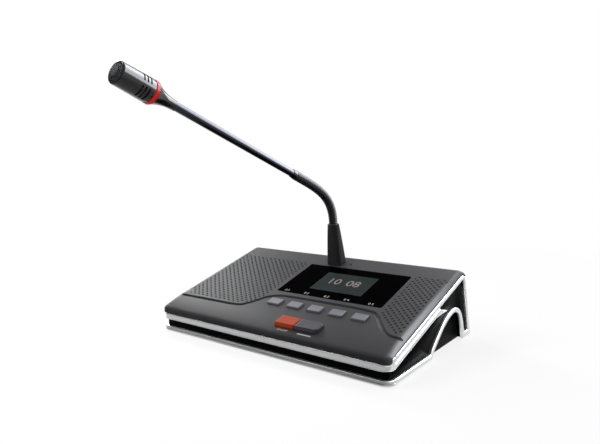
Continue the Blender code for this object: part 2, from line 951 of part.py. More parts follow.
def arch_line():
    span = arch_rear - arch_front
    bends = [(front_y + arch_front + u * span, v * arch_height) for u, v in arch_shares]
    return smooth_line(bends, arch_steps)


def frame_outline():
    start_y = front_y + side_start
    outline = [(start_y, lip_height(start_y, gap))]
    outline += lip_line(gap)
    outline.append(side_point(slope_length, -side_lip_end - gap))
    outline.append(back_line_at(foot_round))
    outline.append((back_line_at(0)[0] - foot_round, 0.0))
    outline += above(list(reversed(offset_line(arch_line(), -rim_width / 2))), 0)
    outline.append((start_y, 0.0))
    outline.append((start_y, strip_height))
    window = offset_line(arch_line(), rim_width / 2)
    highest = max(range(len(window)), key=lambda i: window[i][1])
    outline += above(window[: highest + 1], strip_height)
    outline += above(window[highest + 1 :], foot_height)
    outline.append(back_line_at(foot_height, back_edge))
    for i in range(frame_back_steps + 1):
        turn = quarter_turn * (1 - i / frame_back_steps)
        across = back_radius - back_edge
        along = back_radius - rail_height
        place = (round_slope + across * math.sin(turn), along * math.cos(turn) - back_radius)
        outline.append(side_point(*place))
    outline.append((start_y, rail_low(side_start)))
    return outline


def inward(points):
    """For each corner of a closed outline the step that moves both its sides in by one."""
    steps = []
    area = sum(a[0] * b[1] - b[0] * a[1] for a, b in zip(points, points[1:] + points[:1]))
    turn = 1 if area > 0 else -1
    for i, point in enumerate(points):
        before = (Vector(point) - Vector(points[i - 1])).normalized()
        after = (Vector(points[(i + 1) % len(points)]) - Vector(point)).normalized()
        normal_a = Vector((-before.y, before.x)) * turn
        normal_b = Vector((-after.y, after.x)) * turn
        middle = (normal_a + normal_b).normalized()
        steps.append(middle / max(middle.dot(normal_a), sharpest_turn))
    return steps


def build_side_frame(name, material, side):
    points = frame_outline()
    steps = inward(points)
    rings = []
    for out_share, edge_share in frame_edge:
        x = side * (half_width - skin * (1 - out_share))
        moved = [Vector(p) + step * edge_round * edge_share for p, step in zip(points, steps)]
        rings.append([Vector((x, p.x, p.y)) for p in moved])
    return add_object(skin_rings(bmesh.new(), rings), name, material)


def build_cheek(name, material, side):
    start_y = front_y + side_start
    top_drop = shell + gap
    hidden = edge_round
    outline = [(start_y, panel_height(start_y) - top_drop / cos_panel)]
    outline += back_corner(top_drop)
    outline.append(side_point(slope_length - top_drop, -cover_back_drop - back_radius))
    outline.append(side_point(slope_length - 2 * hidden, -cover_back_drop - back_radius - overrun))
    outline.append(back_line_at(foot_round, 2 * hidden))
    outline.append((back_line_at(hidden)[0] - foot_round - hidden, hidden))
    opening = above(list(reversed(offset_line(arch_line(), hidden - rim_width / 2))), hidden)
    outline += opening
    outline.append((start_y, hidden))
    low, high = case_half + gap, core_half
    cheek = add_object(side_prism(outline, side * low, side * high), name, material)
    soften(cheek, edge_round / 2)
    return cheek


# Bottom case

def build_case(material):
    front = front_y + inset
    outline = [(front, 0.0), back_line_at(0)]
    outline.append(side_point(slope_length, -cover_back_drop - gap))
    outline.append(side_point(slope_length - shell - gap, -cover_back_drop - gap))
    outline += list(reversed(back_corner(shell + gap)))
    outline.append((front, panel_height(front) - (shell + gap) / cos_panel))
    case = add_object(side_prism(outline, -half_width, half_width), "bottom_case", material)
    plan = plan_corner(core_radius, case_plan_steps)
    plan.append((case_half, front_y + corner_radius))
    plan.append((case_half, -front_y + overrun))
    change(case, "plan", plan_prism(plan, -overrun, panel_height(-front_y) + overrun), operation="INTERSECT")

    inner_half = case_half - shell
    inner_front = front + shell
    cavity = [(inner_front, floor_thickness), back_line_at(floor_thickness, shell)]
    cavity.append(side_point(slope_length - shell, -cover_back_drop - 2 * shell))
    cavity.append(side_point(slope_length - 2 * shell - gap, -cover_back_drop))
    cavity.append(side_point(slope_length - 2 * shell - gap, overrun))
    cavity.append((inner_front, panel_height(inner_front) + overrun))
    change(case, "cavity", side_prism(cavity, -inner_half, inner_half))

    standoffs = bmesh.new()
    for x, y in standoff_places():
        post = [(x + p.x, y + p.y) for p in circle(standoff_radius, 0, neck_sides)]
        prism(post, floor_thickness / 2, floor_thickness + standoff_height, standoffs)
    change(case, "standoffs", standoffs, operation="UNION")
    below = bmesh.new()
    for x, y in foot_places():
        recess = [(x + p.x, y + p.y) for p in circle(foot_radius + gap, 0, hidden_sides)]
        prism(recess, -overrun, foot_sink, below)
    change(case, "foot_recesses", below)
    holes = bmesh.new()
    sinks = bmesh.new()
    for x, y in post_places():
        hole = [(x + p.x, y + p.y) for p in circle(screw_radius + gap, 0, neck_sides)]
        prism(hole, -overrun, floor_thickness + overrun / 2, holes)
        sink = [(x + p.x, y + p.y) for p in circle(screw_head_radius + gap, 0, neck_sides)]
        prism(sink, -overrun, screw_head_height, sinks)
    change(case, "screw_holes", holes)
    change(case, "screw_sinks", sinks)
    opening = rounded_rect(rear_width, rear_height, rear_lip / 2)
    change(case, "rear_opening", prism(opening, -shell - overrun / 2, overrun), on_back(0, rear_drop))
    return case


def standoff_places():
    low = front_y + main_board_front + standoff_inset
    high = front_y + main_board_front + main_board_depth - standoff_inset
    across = main_board_width / 2 - standoff_inset
    return [(side * across, y) for y in (low, high) for side in (-1, 1)]


def build_floor_parts(board_material, steel, rubber, screw_material):
    depth_centre = front_y + main_board_front + main_board_depth / 2
    outline = rounded_rect(main_board_width, main_board_depth, edge_round, 0, depth_centre)
    low = floor_thickness + standoff_height + gap
    add_object(prism(outline, low, low + board_thickness), "main_board", board_material)
    weight_centre = front_y + weight_front + weight_depth / 2
    outline = rounded_rect(weight_width, weight_depth, edge_round, 0, weight_centre)
    low = floor_thickness + gap
    weight = add_object(prism(outline, low, low + weight_thickness), "ballast_plate", steel)
    soften(weight)
    for number, (x, y) in enumerate(foot_places(), 1):
        profile = [
            (foot_radius - edge_round, -ground_clearance),
            (foot_radius, edge_round - ground_clearance),
            (foot_radius, foot_sink - gap),
        ]
        place = Matrix.Translation((x, y, 0))
        add_object(turned(profile, hidden_sides), f"rubber_foot_{number}", rubber, place)
    for number, (x, y) in enumerate(post_places(), 1):
        profile = [
            (screw_head_radius, gap),
            (screw_head_radius, screw_head_height - gap),
            (screw_radius, screw_head_height - gap),
            (screw_radius, screw_length),
        ]
        place = Matrix.Translation((x, y, 0))
        add_object(turned(profile, neck_sides), f"case_screw_{number}", screw_material, place)


# Rear panel and sockets

def socket_places():
    return [("line_in_socket", -socket_spread / 2), ("line_out_socket", socket_spread / 2)]


def build_rear(panel_material, socket_material):
    flange = rounded_rect(rear_width + 2 * rear_lip, rear_height + 2 * rear_lip, rear_lip)
    body = rounded_rect(rear_width - 2 * gap, rear_height - 2 * gap, rear_lip / 2)
    inner_face = -shell - gap
    rings = [
        level(flange, inner_face - sheet_thickness),
        level(flange, inner_face),
        level(body, inner_face),
        level(body, -gap),
    ]
    panel = add_object(skin_rings(bmesh.new(), rings), "rear_panel", panel_material, on_back(0, rear_drop))
    holes = bmesh.new()
    for _, x in socket_places():
        hole = [(x + p.x, p.y) for p in circle(socket_radius + gap, 0, hidden_sides)]
        prism(hole, -shell - overrun, overrun, holes)
    change(panel, "socket_holes", holes, on_back(0, rear_drop))
    for name, x in socket_places():
        profile = [
            (0, -socket_depth),
            (socket_radius, -socket_depth),
            (socket_radius, 0),
            (socket_flange_radius, 0),
            (socket_flange_radius, socket_flange),
            (socket_bore_radius, socket_flange),
            (socket_bore_radius, socket_flange - socket_bore_depth),
            (0, socket_flange - socket_bore_depth),
        ]
        add_object(turned(profile, hidden_sides), name, socket_material, on_back(x, rear_drop))


# Display

def build_display(glass, screen_material):
    outline = rounded_rect(window_width, window_depth, window_radius)
    low = -glass_sink - glass_thickness
    place = on_panel(window_x, window_slope)
    pane = add_object(prism(outline, low, -glass_sink), "display_window", glass, place)
    soften(pane, glass_sink)
    back = rounded_rect(screen_width + 2 * module_border, screen_depth + 2 * module_border, window_radius)
    front = rounded_rect(screen_width, screen_depth, window_radius)
    under = -shell - gap
    rings = [
        level(back, under - module_thickness),
        level(back, under),
        level(front, under),
        level(front, low - gap),
    ]
    place = on_panel(screen_x, screen_slope)
    add_object(skin_rings(bmesh.new(), rings), "lcd_module", screen_material, place)


# Speaker

def build_speaker(foam, steel, ferrite, paper):
    place = on_panel(speaker_x, speaker_slope, -shell - gap - gasket_thickness)
    ring = [
        (speaker_radius, 0),
        (speaker_radius, gasket_thickness),
        (speaker_cone_radius + gap, gasket_thickness),
        (speaker_cone_radius + gap, 0),
    ]
    add_object(turned(ring, hidden_sides, closed=True), "speaker_gasket", foam, place)
    flange = speaker_cone_radius - basket_taper
    basket_place = place @ Matrix.Translation((0, 0, -gap))
    basket = [
        (speaker_radius, 0),
        (speaker_radius, -sheet_thickness),
        (flange + sheet_thickness, -sheet_thickness),
        (speaker_bottom_radius + sheet_thickness, sheet_thickness - speaker_depth),
        (speaker_bottom_radius + sheet_thickness, -speaker_depth),
        (pole_radius + gap, -speaker_depth),
        (pole_radius + gap, sheet_thickness - speaker_depth),
        (speaker_bottom_radius, sheet_thickness - speaker_depth),
        (flange, -sheet_thickness),
        (flange, 0),
    ]
    add_object(turned(basket, hidden_sides, closed=True), "speaker_basket", steel, basket_place)
    magnet = [
        (0, -speaker_depth - gap - magnet_thickness),
        (magnet_radius, -speaker_depth - gap - magnet_thickness),
        (magnet_radius, -speaker_depth - gap),
        (pole_radius, -speaker_depth - gap),
        (pole_radius, pole_rise - speaker_depth),
        (0, pole_rise - speaker_depth),
    ]
    add_object(turned(magnet, hidden_sides), "speaker_magnet", ferrite, basket_place)
    dip = cone_rise - speaker_depth + gap
    cone = [
        (0, dip),
        (pole_radius + paper_thickness, dip),
        (flange - sheet_thickness, -sheet_thickness / 2),
        (flange - paper_thickness, gap),
        (speaker_cone_radius, gap),
        (speaker_cone_radius, gap + paper_thickness),
        (flange - sheet_thickness, gap + paper_thickness),
        (pole_radius + paper_thickness, dip + 2 * paper_thickness),
        (0, dip + cap_rise),
    ]
    add_object(turned(cone, hidden_sides), "speaker_cone", paper, basket_place)


# Boot of the microphone and its fixings

def boot_ring(share):
    """One ring of the boot, from a rounded oblong on the panel to a circle round the gooseneck."""
    low = Vector((mic_x, *side_point(boot_slope, gap)))
    high, _ = neck_place(0)
    centre = low.lerp(high, share)
    tilt = panel_angle + (quarter_turn - boot_angle - panel_angle) * share
    half_x = boot_width / 2 + (boot_top_radius - boot_width / 2) * share
    half_y = boot_depth / 2 + (boot_top_radius - boot_depth / 2) * share
    power = 2 / (boot_corner_power + (2 - boot_corner_power) * share)
    ring = []
    for i in range(boot_sides):
        angle = full_turn * i / boot_sides + half_turn / boot_sides
        c, s = math.cos(angle), math.sin(angle)
        x = half_x * math.copysign(abs(c) ** power, c)
        y = half_y * math.copysign(abs(s) ** power, s)
        ring.append(centre + Vector((x, y * math.cos(tilt), y * math.sin(tilt))))
    return ring


def build_boot(plastic, steel):
    rings = [boot_ring(i / boot_rings) for i in range(boot_rings + 1)]
    boot = add_object(skin_rings(bmesh.new(), rings), "mic_boot", plastic)
    threaded = [
        (sleeve_radius - edge_round, -sleeve_length),
        (sleeve_radius, edge_round - sleeve_length),
        (sleeve_radius, gap + edge_round),
    ]
    change(boot, "sleeve", turned(threaded, neck_sides), on_panel(mic_x, boot_slope), "UNION")
    place, angle = neck_place(0)
    profile = [(r, -along) for r, along in ball_curve(ball_radius + ball_clearance)]
    profile.append((ball_radius + ball_clearance, overrun))
    lean = Matrix.Translation(place) @ Matrix.Rotation(quarter_turn - angle, 4, "X")
    change(boot, "socket", turned(profile, neck_sides), lean)

    hexed = []
    for i, point in enumerate(circle(nut_radius, 0, boot_sides)):
        from_flat = (full_turn * i / boot_sides) % nut_corner - nut_corner / 2
        hexed.append(point * math.cos(nut_corner / 2) / math.cos(from_flat))
    hole = circle(sleeve_radius + gap, 0, boot_sides)
    top = -shell - gap
    rings = []
    for points, z in ((hole, top - nut_thickness), (hexed, top - nut_thickness), (hexed, top), (hole, top)):
        rings.append([Vector((p.x, p.y, z)) for p in points])
    add_object(skin_rings(bmesh.new(), rings, closed=True), "boot_nut", steel, on_panel(mic_x, boot_slope))

    screw = [
        (0, -lock_length),
        (lock_shaft_radius, -lock_length),
        (lock_shaft_radius, gap - lock_head),
        (lock_radius, gap - lock_head),
        (lock_radius, 0),
        (lock_radius / 2, 0),
        (lock_radius / 2, -lock_head / 2),
        (0, -lock_head / 2),
    ]
    add_object(turned(screw, neck_sides), "lock_screw", steel, on_panel(lock_x, lock_slope))
    return boot


# Gooseneck of ball-jointed links

def ball_curve(radius):
    """Radii of half a ball and how far each lies from its middle, from the tip on."""
    turns = [quarter_turn * i / ball_steps for i in range(1, ball_steps + 1)]
    return [(0, radius)] + [(radius * math.sin(turn), radius * math.cos(turn)) for turn in turns]


def neck_ring(run, radius, origin):
    centre, angle = neck_place(run)
    across = Vector((0, math.sin(angle), math.cos(angle)))
    if radius == 0:
        return [centre - origin]
    ring = []
    for i in range(neck_sides):
        turn = full_turn * i / neck_sides
        sideways = Vector((radius * math.cos(turn), 0, 0))
        ring.append(centre - origin + sideways + across * radius * math.sin(turn))
    return ring


def link_profile(start, end, last):
    """Distances along the neck and radii, from the tip of the ball to the bottom of the cup."""
    profile = [(start - along, radius) for radius, along in ball_curve(ball_radius)]
    shoulder = start + link_gap
    profile += [(shoulder, ball_radius), (shoulder, neck_radius - link_chamfer)]
    profile += [(shoulder + link_chamfer, neck_radius)]
    low, high = shoulder + link_chamfer, end - link_chamfer
    profile += [(low + (high - low) * i / link_steps, neck_radius) for i in range(1, link_steps + 1)]
    profile += [(end, neck_radius - link_chamfer)]
    if last:
        return profile + [(end, 0)]
    cup = [(end - along, radius) for radius, along in ball_curve(ball_radius + ball_clearance)]
    return profile + list(reversed(cup))


def build_neck(boot, material):
    spacing = neck_length / link_count
    parent = boot
    for number in range(1, link_count + 1):
        start = (number - 1) * spacing
        origin, _ = neck_place(start)
        profile = link_profile(start, start + spacing, number == link_count)
        rings = [neck_ring(run, radius, origin) for run, radius in profile]
        place = Matrix.Translation(origin)
        link = add_object(skin_rings(bmesh.new(), rings), f"neck_link_{number}", material, place)
        hang_on(link, parent)
        parent = link
    return parent


# Stem and microphone head

def build_stem(link, tube_material, black):
    tube = [
        (stem_outer, gap),
        (stem_outer, stem_length_total),
        (stem_bore, stem_length_total),
        (stem_bore, gap),
    ]
    pieces = [add_object(turned(tube, neck_sides, closed=True), "stem_tube", tube_material, along_stem())]
    inner = stem_outer + gap
    ferrule = [
        (ferrule_radius - edge_round, gap),
        (ferrule_radius, gap + edge_round),
        (ferrule_radius, ferrule_length - edge_round),
        (ferrule_radius - edge_round, ferrule_length),
        (inner, ferrule_length),
        (inner, gap),
    ]
    pieces.append(add_object(turned(ferrule, head_sides, closed=True), "neck_ferrule", black, along_stem()))
    flare = []
    for i in range(cone_rings + 1):
        share = i / cone_rings
        radius = cone_small_radius + (cone_large_radius - cone_small_radius) * share**cone_power
        flare.append((radius, cone_start + (cone_end - cone_start) * share))
    cavity = spigot_radius + gap
    cavity_start = cone_end - spigot_length
    inside = [
        (cavity, cone_end),
        (cavity, cavity_start),
        (stem_bore, cavity_start),
        (stem_bore, stem_length_total + gap),
        (inner, stem_length_total + gap),
        (inner, cone_start),
    ]
    flared = turned(flare + inside, head_sides, closed=True)
    pieces.append(add_object(flared, "head_cone", black, along_stem()))
    for piece in pieces:
        hang_on(piece, link)
    return pieces[0]


def build_head(link, black, red, rubber, metal, mesh_material):
    ring_start = cone_end + gap
    ring_end = ring_start + ring_length
    ring = [
        (ring_radius - edge_round / 2, ring_start),
        (ring_radius, ring_start + edge_round / 2),
        (ring_radius, ring_end - edge_round / 2),
        (ring_radius - edge_round / 2, ring_end),
        (spigot_radius + gap, ring_end),
        (spigot_radius + gap, ring_start),
    ]
    pieces = [add_object(turned(ring, head_sides, closed=True), "light_ring", red, along_stem())]

    start = ring_end + gap
    bore = head_radius - head_wall
    mouth = head_radius - rim_wall
    barrel = [
        (stem_bore, start - ring_length - spigot_length),
        (spigot_radius, start - ring_length - spigot_length),
        (spigot_radius, start),
        (head_radius - edge_round / 2, start),
        (head_radius, start + edge_round / 2),
        (head_radius, head_end - edge_round),
        (head_radius - edge_round / 2, head_end),
        (mouth, head_end),
        (mouth, head_end - mouth_depth),
        (bore, head_end - mouth_depth),
        (bore, start + head_floor),
        (stem_bore, start + head_floor),
    ]
    made = add_object(turned(barrel, head_sides, closed=True), "mic_barrel", black, along_stem())
    slots = bmesh.new()
    for row in range(slot_rows):
        middle = start + slot_first + row * slot_pitch
        for number in range(slots_around):
            centre = number * full_turn / slots_around + slot_turn
            first, last = centre - slot_arc / 2, centre + slot_arc / 2
            outer = arc((0, 0), head_radius + overrun, first, last, slot_steps)
            inner = arc((0, 0), (bore + spigot_radius) / 2, last, first, slot_steps)
            prism(outer + inner, middle - slot_width / 2, middle + slot_width / 2, slots)
    change(made, "slots", slots, along_stem())
    pieces.append(made)

    front = head_end - mouth_depth - gap
    holder_end = front - capsule_setback
    holder = [
        (bore - gap, holder_end - sleeve_ring_length),
        (bore - gap, holder_end),
        (capsule_radius + gap, holder_end),
        (capsule_radius + gap, holder_end - sleeve_ring_length),
    ]
    held = turned(holder, hidden_sides, closed=True)
    pieces.append(add_object(held, "capsule_sleeve", rubber, along_stem()))
    capsule = [
        (0, holder_end - capsule_length - gap),
        (capsule_radius - edge_round / 2, holder_end - capsule_length - gap),
        (capsule_radius, holder_end - capsule_length - gap + edge_round / 2),
        (capsule_radius, holder_end - gap),
        (capsule_radius / 2, holder_end - gap),
        (0, holder_end - gap - edge_round / 2),
    ]
    pieces.append(add_object(turned(capsule, hidden_sides), "mic_capsule", metal, along_stem()))

    seat = head_end - mouth_depth + gap
    edge = mouth - gap
    front_face = seat + grille_thickness
    grille = [
        (0, seat),
        (edge, seat),
        (edge, front_face),
        (edge - edge_round, front_face + edge_round),
        (edge / 2, front_face + edge_round + dome_share * (grille_dome - edge_round)),
        (0, front_face + grille_dome),
    ]
    mesh_piece = add_object(turned(grille, head_sides), "mic_grille", mesh_material, along_stem())
    holes = bmesh.new()
    reach = int(edge / mesh_pitch) + 1
    for row in range(-reach, reach + 1):
        for column in range(-reach, reach + 1):
            x = (column + row % 2 / 2) * mesh_pitch
            y = row * mesh_pitch * math.sin(mesh_row_turn)
            if math.hypot(x, y) < edge - mesh_pitch / 2:
                hole = [(x + p.x, y + p.y) for p in circle(mesh_hole_radius, 0, grille_hole_sides)]
                prism(hole, seat - overrun, front_face + overrun, holes)
    change(mesh_piece, "holes", holes, along_stem())
    pieces.append(mesh_piece)
    for piece in pieces:
        hang_on(piece, link)


def build():
    for old in list(bpy.data.objects):
        bpy.data.objects.remove(old, do_unlink=True)

    made = {name: make_material(name) for name in finishes}
    grey = made["textured_grey_abs"]
    black = made["black_abs"]
    silver = made["silver_plated_trim"]
    glass = made["smoked_glass"]
    screen = made["lcd_glass"]
    key_grey = made["grey_keycap"]
    key_red = made["red_keycap"]
    dark_key = made["dark_grey_keycap"]
    board = made["circuit_board"]
    steel = made["zinc_plated_steel"]
    rubber = made["black_rubber"]
    foam = made["grey_foam"]
    ferrite = made["ferrite"]
    paper = made["speaker_paper"]
    socket = made["nickel_plated_brass"]
    neck = made["black_gooseneck"]
    gloss = made["gloss_black_head"]
    red = made["red_light_ring"]
    grille = made["dark_steel_mesh"]

    build_cover(grey)
    build_case(black)
    for name, side in (("left", -1), ("right", 1)):
        build_cheek(f"cheek_{name}", black, side)
        build_side_frame(f"side_frame_{name}", silver, side)
    build_upper_trim(silver)
    build_lower_trim(silver)
    build_rear(black, socket)
    build_floor_parts(board, steel, rubber, steel)
    build_display(glass, screen)
    build_speaker(foam, steel, ferrite, paper)
    build_key_board(board)
    for number, place in enumerate(key_places(), 1):
        build_key(f"function_key_{number}", place, key_grey)
    talk, chair = talk_places()
    join = flange_lip
    build_key("mic_key", talk, key_red, talk_front_slant, (0.0, join))
    build_key("priority_key", chair, dark_key, talk_front_slant, (join, 0.0))
    boot = build_boot(black, steel)
    link = build_neck(boot, neck)
    build_stem(link, neck, gloss)
    build_head(link, gloss, red, rubber, steel, grille)


build()
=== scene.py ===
# Conference delegate unit: finishes, fine detail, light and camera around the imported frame.
# Meshes are drawn in millimetres and made into metres when they become objects.

from math import acos, ceil, copysign, cos, exp, pi, sin, tan

import bmesh
import bpy
from mathutils import Matrix, Vector
from mathutils.bvhtree import BVHTree


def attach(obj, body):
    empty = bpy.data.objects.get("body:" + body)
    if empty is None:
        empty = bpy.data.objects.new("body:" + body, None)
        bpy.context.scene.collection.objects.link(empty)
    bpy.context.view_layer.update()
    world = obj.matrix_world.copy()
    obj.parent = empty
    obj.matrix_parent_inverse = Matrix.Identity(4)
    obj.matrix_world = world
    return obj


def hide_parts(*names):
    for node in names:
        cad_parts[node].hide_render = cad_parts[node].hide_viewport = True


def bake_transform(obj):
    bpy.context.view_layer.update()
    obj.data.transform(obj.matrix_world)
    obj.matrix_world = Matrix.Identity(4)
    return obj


mm = 0.001
deg = pi / 180
quarter = 90 * deg
turn = 360 * deg

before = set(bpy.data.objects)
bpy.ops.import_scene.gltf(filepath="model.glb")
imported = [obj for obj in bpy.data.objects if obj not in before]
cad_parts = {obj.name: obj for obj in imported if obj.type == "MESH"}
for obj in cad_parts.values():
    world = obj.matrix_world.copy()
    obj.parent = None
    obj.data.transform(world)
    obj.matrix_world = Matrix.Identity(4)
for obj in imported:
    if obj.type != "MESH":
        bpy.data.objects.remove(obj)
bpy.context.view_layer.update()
print("frame loaded:", len(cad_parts), "nodes")

console = {
    "width": 230,
    "frontHeight": 22.7,
    "panelAngle": 16.3 * deg,
    "slope": 140,
    "backRound": 9.7,
    "cornerRound": 8,
    "coverCorner": 5,
    "skin": 2.5,
    "shell": 2.2,
    "gap": 0.3,
    "backDrop": 18,
    "reach": 6,
}
tilt = console["panelAngle"]
halfWidth = console["width"] / 2
panelRise = console["frontHeight"] + console["slope"] * sin(tilt)
frontY = -(console["slope"] * cos(tilt) + panelRise * tan(tilt)) / 2  # half of its depth lies in front
gap, skin, shell, reach = [console[name] for name in ("gap", "skin", "shell", "reach")]
cornerRound, backRound, slopeLength = console["cornerRound"], console["backRound"], console["slope"]
edgeAngles = (0, 0.4, 0.8, 1.2, quarter)  # the steps round a small rounded edge


def linearColour(code):
    values = [int(code[i : i + 2], 16) / 255 for i in (0, 2, 4)]
    return (*[v / 12.92 if v <= 0.04045 else ((v + 0.055) / 1.055) ** 2.4 for v in values], 1)


def feed(node, values):
    # a value is a setting, what a socket holds, or the node or output that the socket takes it from
    for key, value in values.items():
        if isinstance(value, bpy.types.Node):
            value = value.outputs[0]
        if isinstance(value, bpy.types.NodeSocket):
            node.id_data.links.new(value, node.inputs[key])
        elif isinstance(key, int) or key in node.inputs:
            node.inputs[key].default_value = value
        else:
            setattr(node, key, value)
    return node


def addNode(tree, kind, values=None):
    return feed(tree.nodes.new(kind), values or {})


maths = "ShaderNodeMath"
vectors = "ShaderNodeVectorMath"
noise = "ShaderNodeTexNoise"
spread = "ShaderNodeMapRange"
spreadSockets = ("Value", "From Min", "From Max", "To Min", "To Max")


# Materials

def bareMaterial(name):
    made = bpy.data.materials.new(name)
    made.use_nodes = True
    made.node_tree.nodes.clear()
    return made, made.node_tree


def surfaceMaterial(name):
    made, tree = bareMaterial(name)
    shader = addNode(tree, "ShaderNodeBsdfPrincipled")
    addNode(tree, "ShaderNodeOutputMaterial", {"Surface": shader})
    return made, tree, shader, addNode(tree, "ShaderNodeTexCoord").outputs["Object"]


def shaderOf(made):
    return made.node_tree.nodes["Principled BSDF"]


# grain and depth: size and depth of the surface texture in mm; mottle and drift: size in mm and share
# of the tone's drift; rough: lowest and highest roughness of the grain; shine: strength of reflections
def grainedFinish(name, colour, grain, depth, mottle, drift, rough, shine=0.5, metal=0.0):
    made, tree, shader, place = surfaceMaterial(name)
    fineScale, broadScale = 1 / (grain * mm), 1 / (mottle * mm)
    fine = addNode(tree, noise, {"Scale": fineScale, "Detail": 2.5, "Roughness": 0.6, "Vector": place})
    broad = addNode(tree, noise, {"Scale": broadScale, "Detail": 3.0, "Vector": place})
    tone, speck, dull = [
        addNode(tree, spread, dict(zip(spreadSockets, values)))
        for values in (
            (broad, 0.25, 0.75, 1 - drift, 1 + drift),
            (fine, 0.3, 0.7, 1 - drift / 2, 1 + drift / 2),
            (fine, 0.3, 0.7, *rough),
        )
    ]
    both = addNode(tree, maths, {"operation": "MULTIPLY", 0: tone, 1: speck})
    hue = linearColour(colour)[:3]
    tinted = addNode(tree, vectors, {"operation": "SCALE", "Vector": hue, "Scale": both})
    bump = addNode(tree, "ShaderNodeBump", {"Strength": 1.0, "Distance": depth * mm, "Height": fine})
    feed(shader, {"Base Color": tinted, "Roughness": dull, "Normal": bump})
    feed(shader, {"Specular IOR Level": shine, "Metallic": metal})
    return made


# Injection-moulded ABS from a spark-eroded tool: an even, dull grain without any gloss spots
sparkedGreyAbs = grainedFinish("sparkedGreyAbs", "343436", 0.7, 0.03, 30, 0.05, (0.4, 0.5), 0.09)


# Painted sheen: the cover's two long edges reflect more than its panel, most of all in front, where they
# catch a highlight
def paintEdgeSheen(made, start, end, gloss, front, back):
    tree, shader = made.node_tree, shaderOf(made)
    split = addNode(tree, "ShaderNodeSeparateXYZ", {0: tree.nodes["Texture Coordinate"].outputs["Object"]})
    away = addNode(tree, maths, {"operation": "ABSOLUTE", 0: split.outputs["X"]})
    along = (split.outputs["Y"], front * mm, back * mm, gloss, gloss / 6)
    most = addNode(tree, spread, dict(zip(spreadSockets, along)))
    least = shader.inputs["Specular IOR Level"].default_value
    level = dict(zip(spreadSockets, (away, start * mm, end * mm, least, most)))
    level = addNode(tree, spread, {"interpolation_type": "SMOOTHSTEP", **level})
    feed(shader, {"Specular IOR Level": level})


paintEdgeSheen(sparkedGreyAbs, start=108.5, end=114.8, gloss=0.6, front=-70, back=30)
# The same plastic in black, with a finer grain that keeps it deep in the recess
fineBlackAbs = grainedFinish("fineBlackAbs", "0C0C0D", 0.5, 0.012, 25, 0.08, (0.38, 0.5), 0.008)
# Tampo-smooth keycaps: polished tool, light grain from handling
greyKeycapAbs = grainedFinish("greyKeycapAbs", "707078", 0.6, 0.008, 9, 0.05, (0.34, 0.46), 0.15)
darkKeycapAbs = grainedFinish("darkKeycapAbs", "414146", 0.6, 0.008, 9, 0.05, (0.34, 0.46), 0.12)
# Tinted ABS that lets a little light through at its thin edges
redKeycapAbs = grainedFinish("redKeycapAbs", "A64022", 0.6, 0.006, 9, 0.05, (0.34, 0.46), 0.06)
# Glass-filled nylon of the boot: slightly silky, with a coarser flow pattern
nylonBoot = grainedFinish("nylonBoot", "333334", 0.9, 0.02, 14, 0.1, (0.36, 0.5), 0.06)
# Baked lacquer over the steel spiral: satin with small wear spots on the ribs
lacqueredSteel = grainedFinish("lacqueredSteel", "14141A", 0.8, 0.006, 6, 0.15, (0.22, 0.32), 0.35)
# The same lacquer on the smooth drawn tube, with a sharper and bluer shine
lacqueredTube = grainedFinish("lacqueredTube", "08080B", 1.4, 0.002, 9, 0.12, (0.1, 0.16), 0.52)
feed(shaderOf(lacqueredTube), {"Specular Tint": linearColour("E6EAFF")})
# Piano lacquer on the turned brass head: deep black under a clear coat with sharp highlights
pianoLacquer = grainedFinish("pianoLacquer", "070709", 1.2, 0.001, 8, 0.12, (0.12, 0.2), 0.55)
# Clear-red acrylic light ring, lit a little from inside
redAcrylic = grainedFinish("redAcrylic", "E22B20", 1.0, 0.003, 4, 0.06, (0.2, 0.3), 0.2)
lit = {"Emission Color": linearColour("E8342C"), "Emission Strength": 0.25}
feed(shaderOf(redAcrylic), {"Subsurface Weight": 0.3, "Subsurface Scale": 0.001, **lit})
# Woven and pressed steel cloth of the capsule cover, dark lacquered
darkSteelCloth = grainedFinish("darkSteelCloth", "36383B", 0.5, 0.02, 4, 0.12, (0.4, 0.55), metal=0.4)
# Bright zinc on the inner steel: blue-grey with a cloudy bloom
zincPlate = grainedFinish("zincPlate", "A3A6A8", 1.1, 0.004, 5, 0.08, (0.25, 0.4), metal=1.0)
# Zinc on the lock screw, painted near black for the shade of the hole it sits in
shadedZincPlate = grainedFinish("shadedZincPlate", "151517", 0.9, 0.004, 5, 0.08, (0.3, 0.45), 0.2)
# Nickel on turned brass: warm grey, bright
nickelPlate = grainedFinish("nickelPlate", "B7B4A8", 0.9, 0.003, 5, 0.05, (0.18, 0.3), metal=1.0)
# Moulded rubber, open foam, sintered ferrite and pressed paper: dark and dull, each with its own grain
mouldedRubber = grainedFinish("mouldedRubber", "1C1C1C", 0.6, 0.03, 6, 0.12, (0.7, 0.88))
openFoam = grainedFinish("openFoam", "3A3A3A", 0.8, 0.2, 3, 0.15, (0.85, 0.98))
sinteredFerrite = grainedFinish("sinteredFerrite", "2C2C2E", 0.7, 0.03, 5, 0.12, (0.5, 0.7))
pressedPaper = grainedFinish("pressedPaper", "202020", 0.9, 0.06, 5, 0.15, (0.8, 0.95))
# Solder mask sprayed over copper: glossy dark green
greenSolderMask = grainedFinish("greenSolderMask", "1F4A2A", 1.5, 0.03, 7, 0.2, (0.25, 0.4))
# Screen-printed ink of the key numbers and marks: flat, with a thin ragged edge
paleInk = grainedFinish("paleInk", "B8B3AC", 0.4, 0.004, 3, 0.1, (0.5, 0.7))
# The dark segments of the display, softened by the film in front of them
crystalInk = grainedFinish("crystalInk", "8A817D", 0.5, 0.002, 3, 0.12, (0.4, 0.5), 0.1)


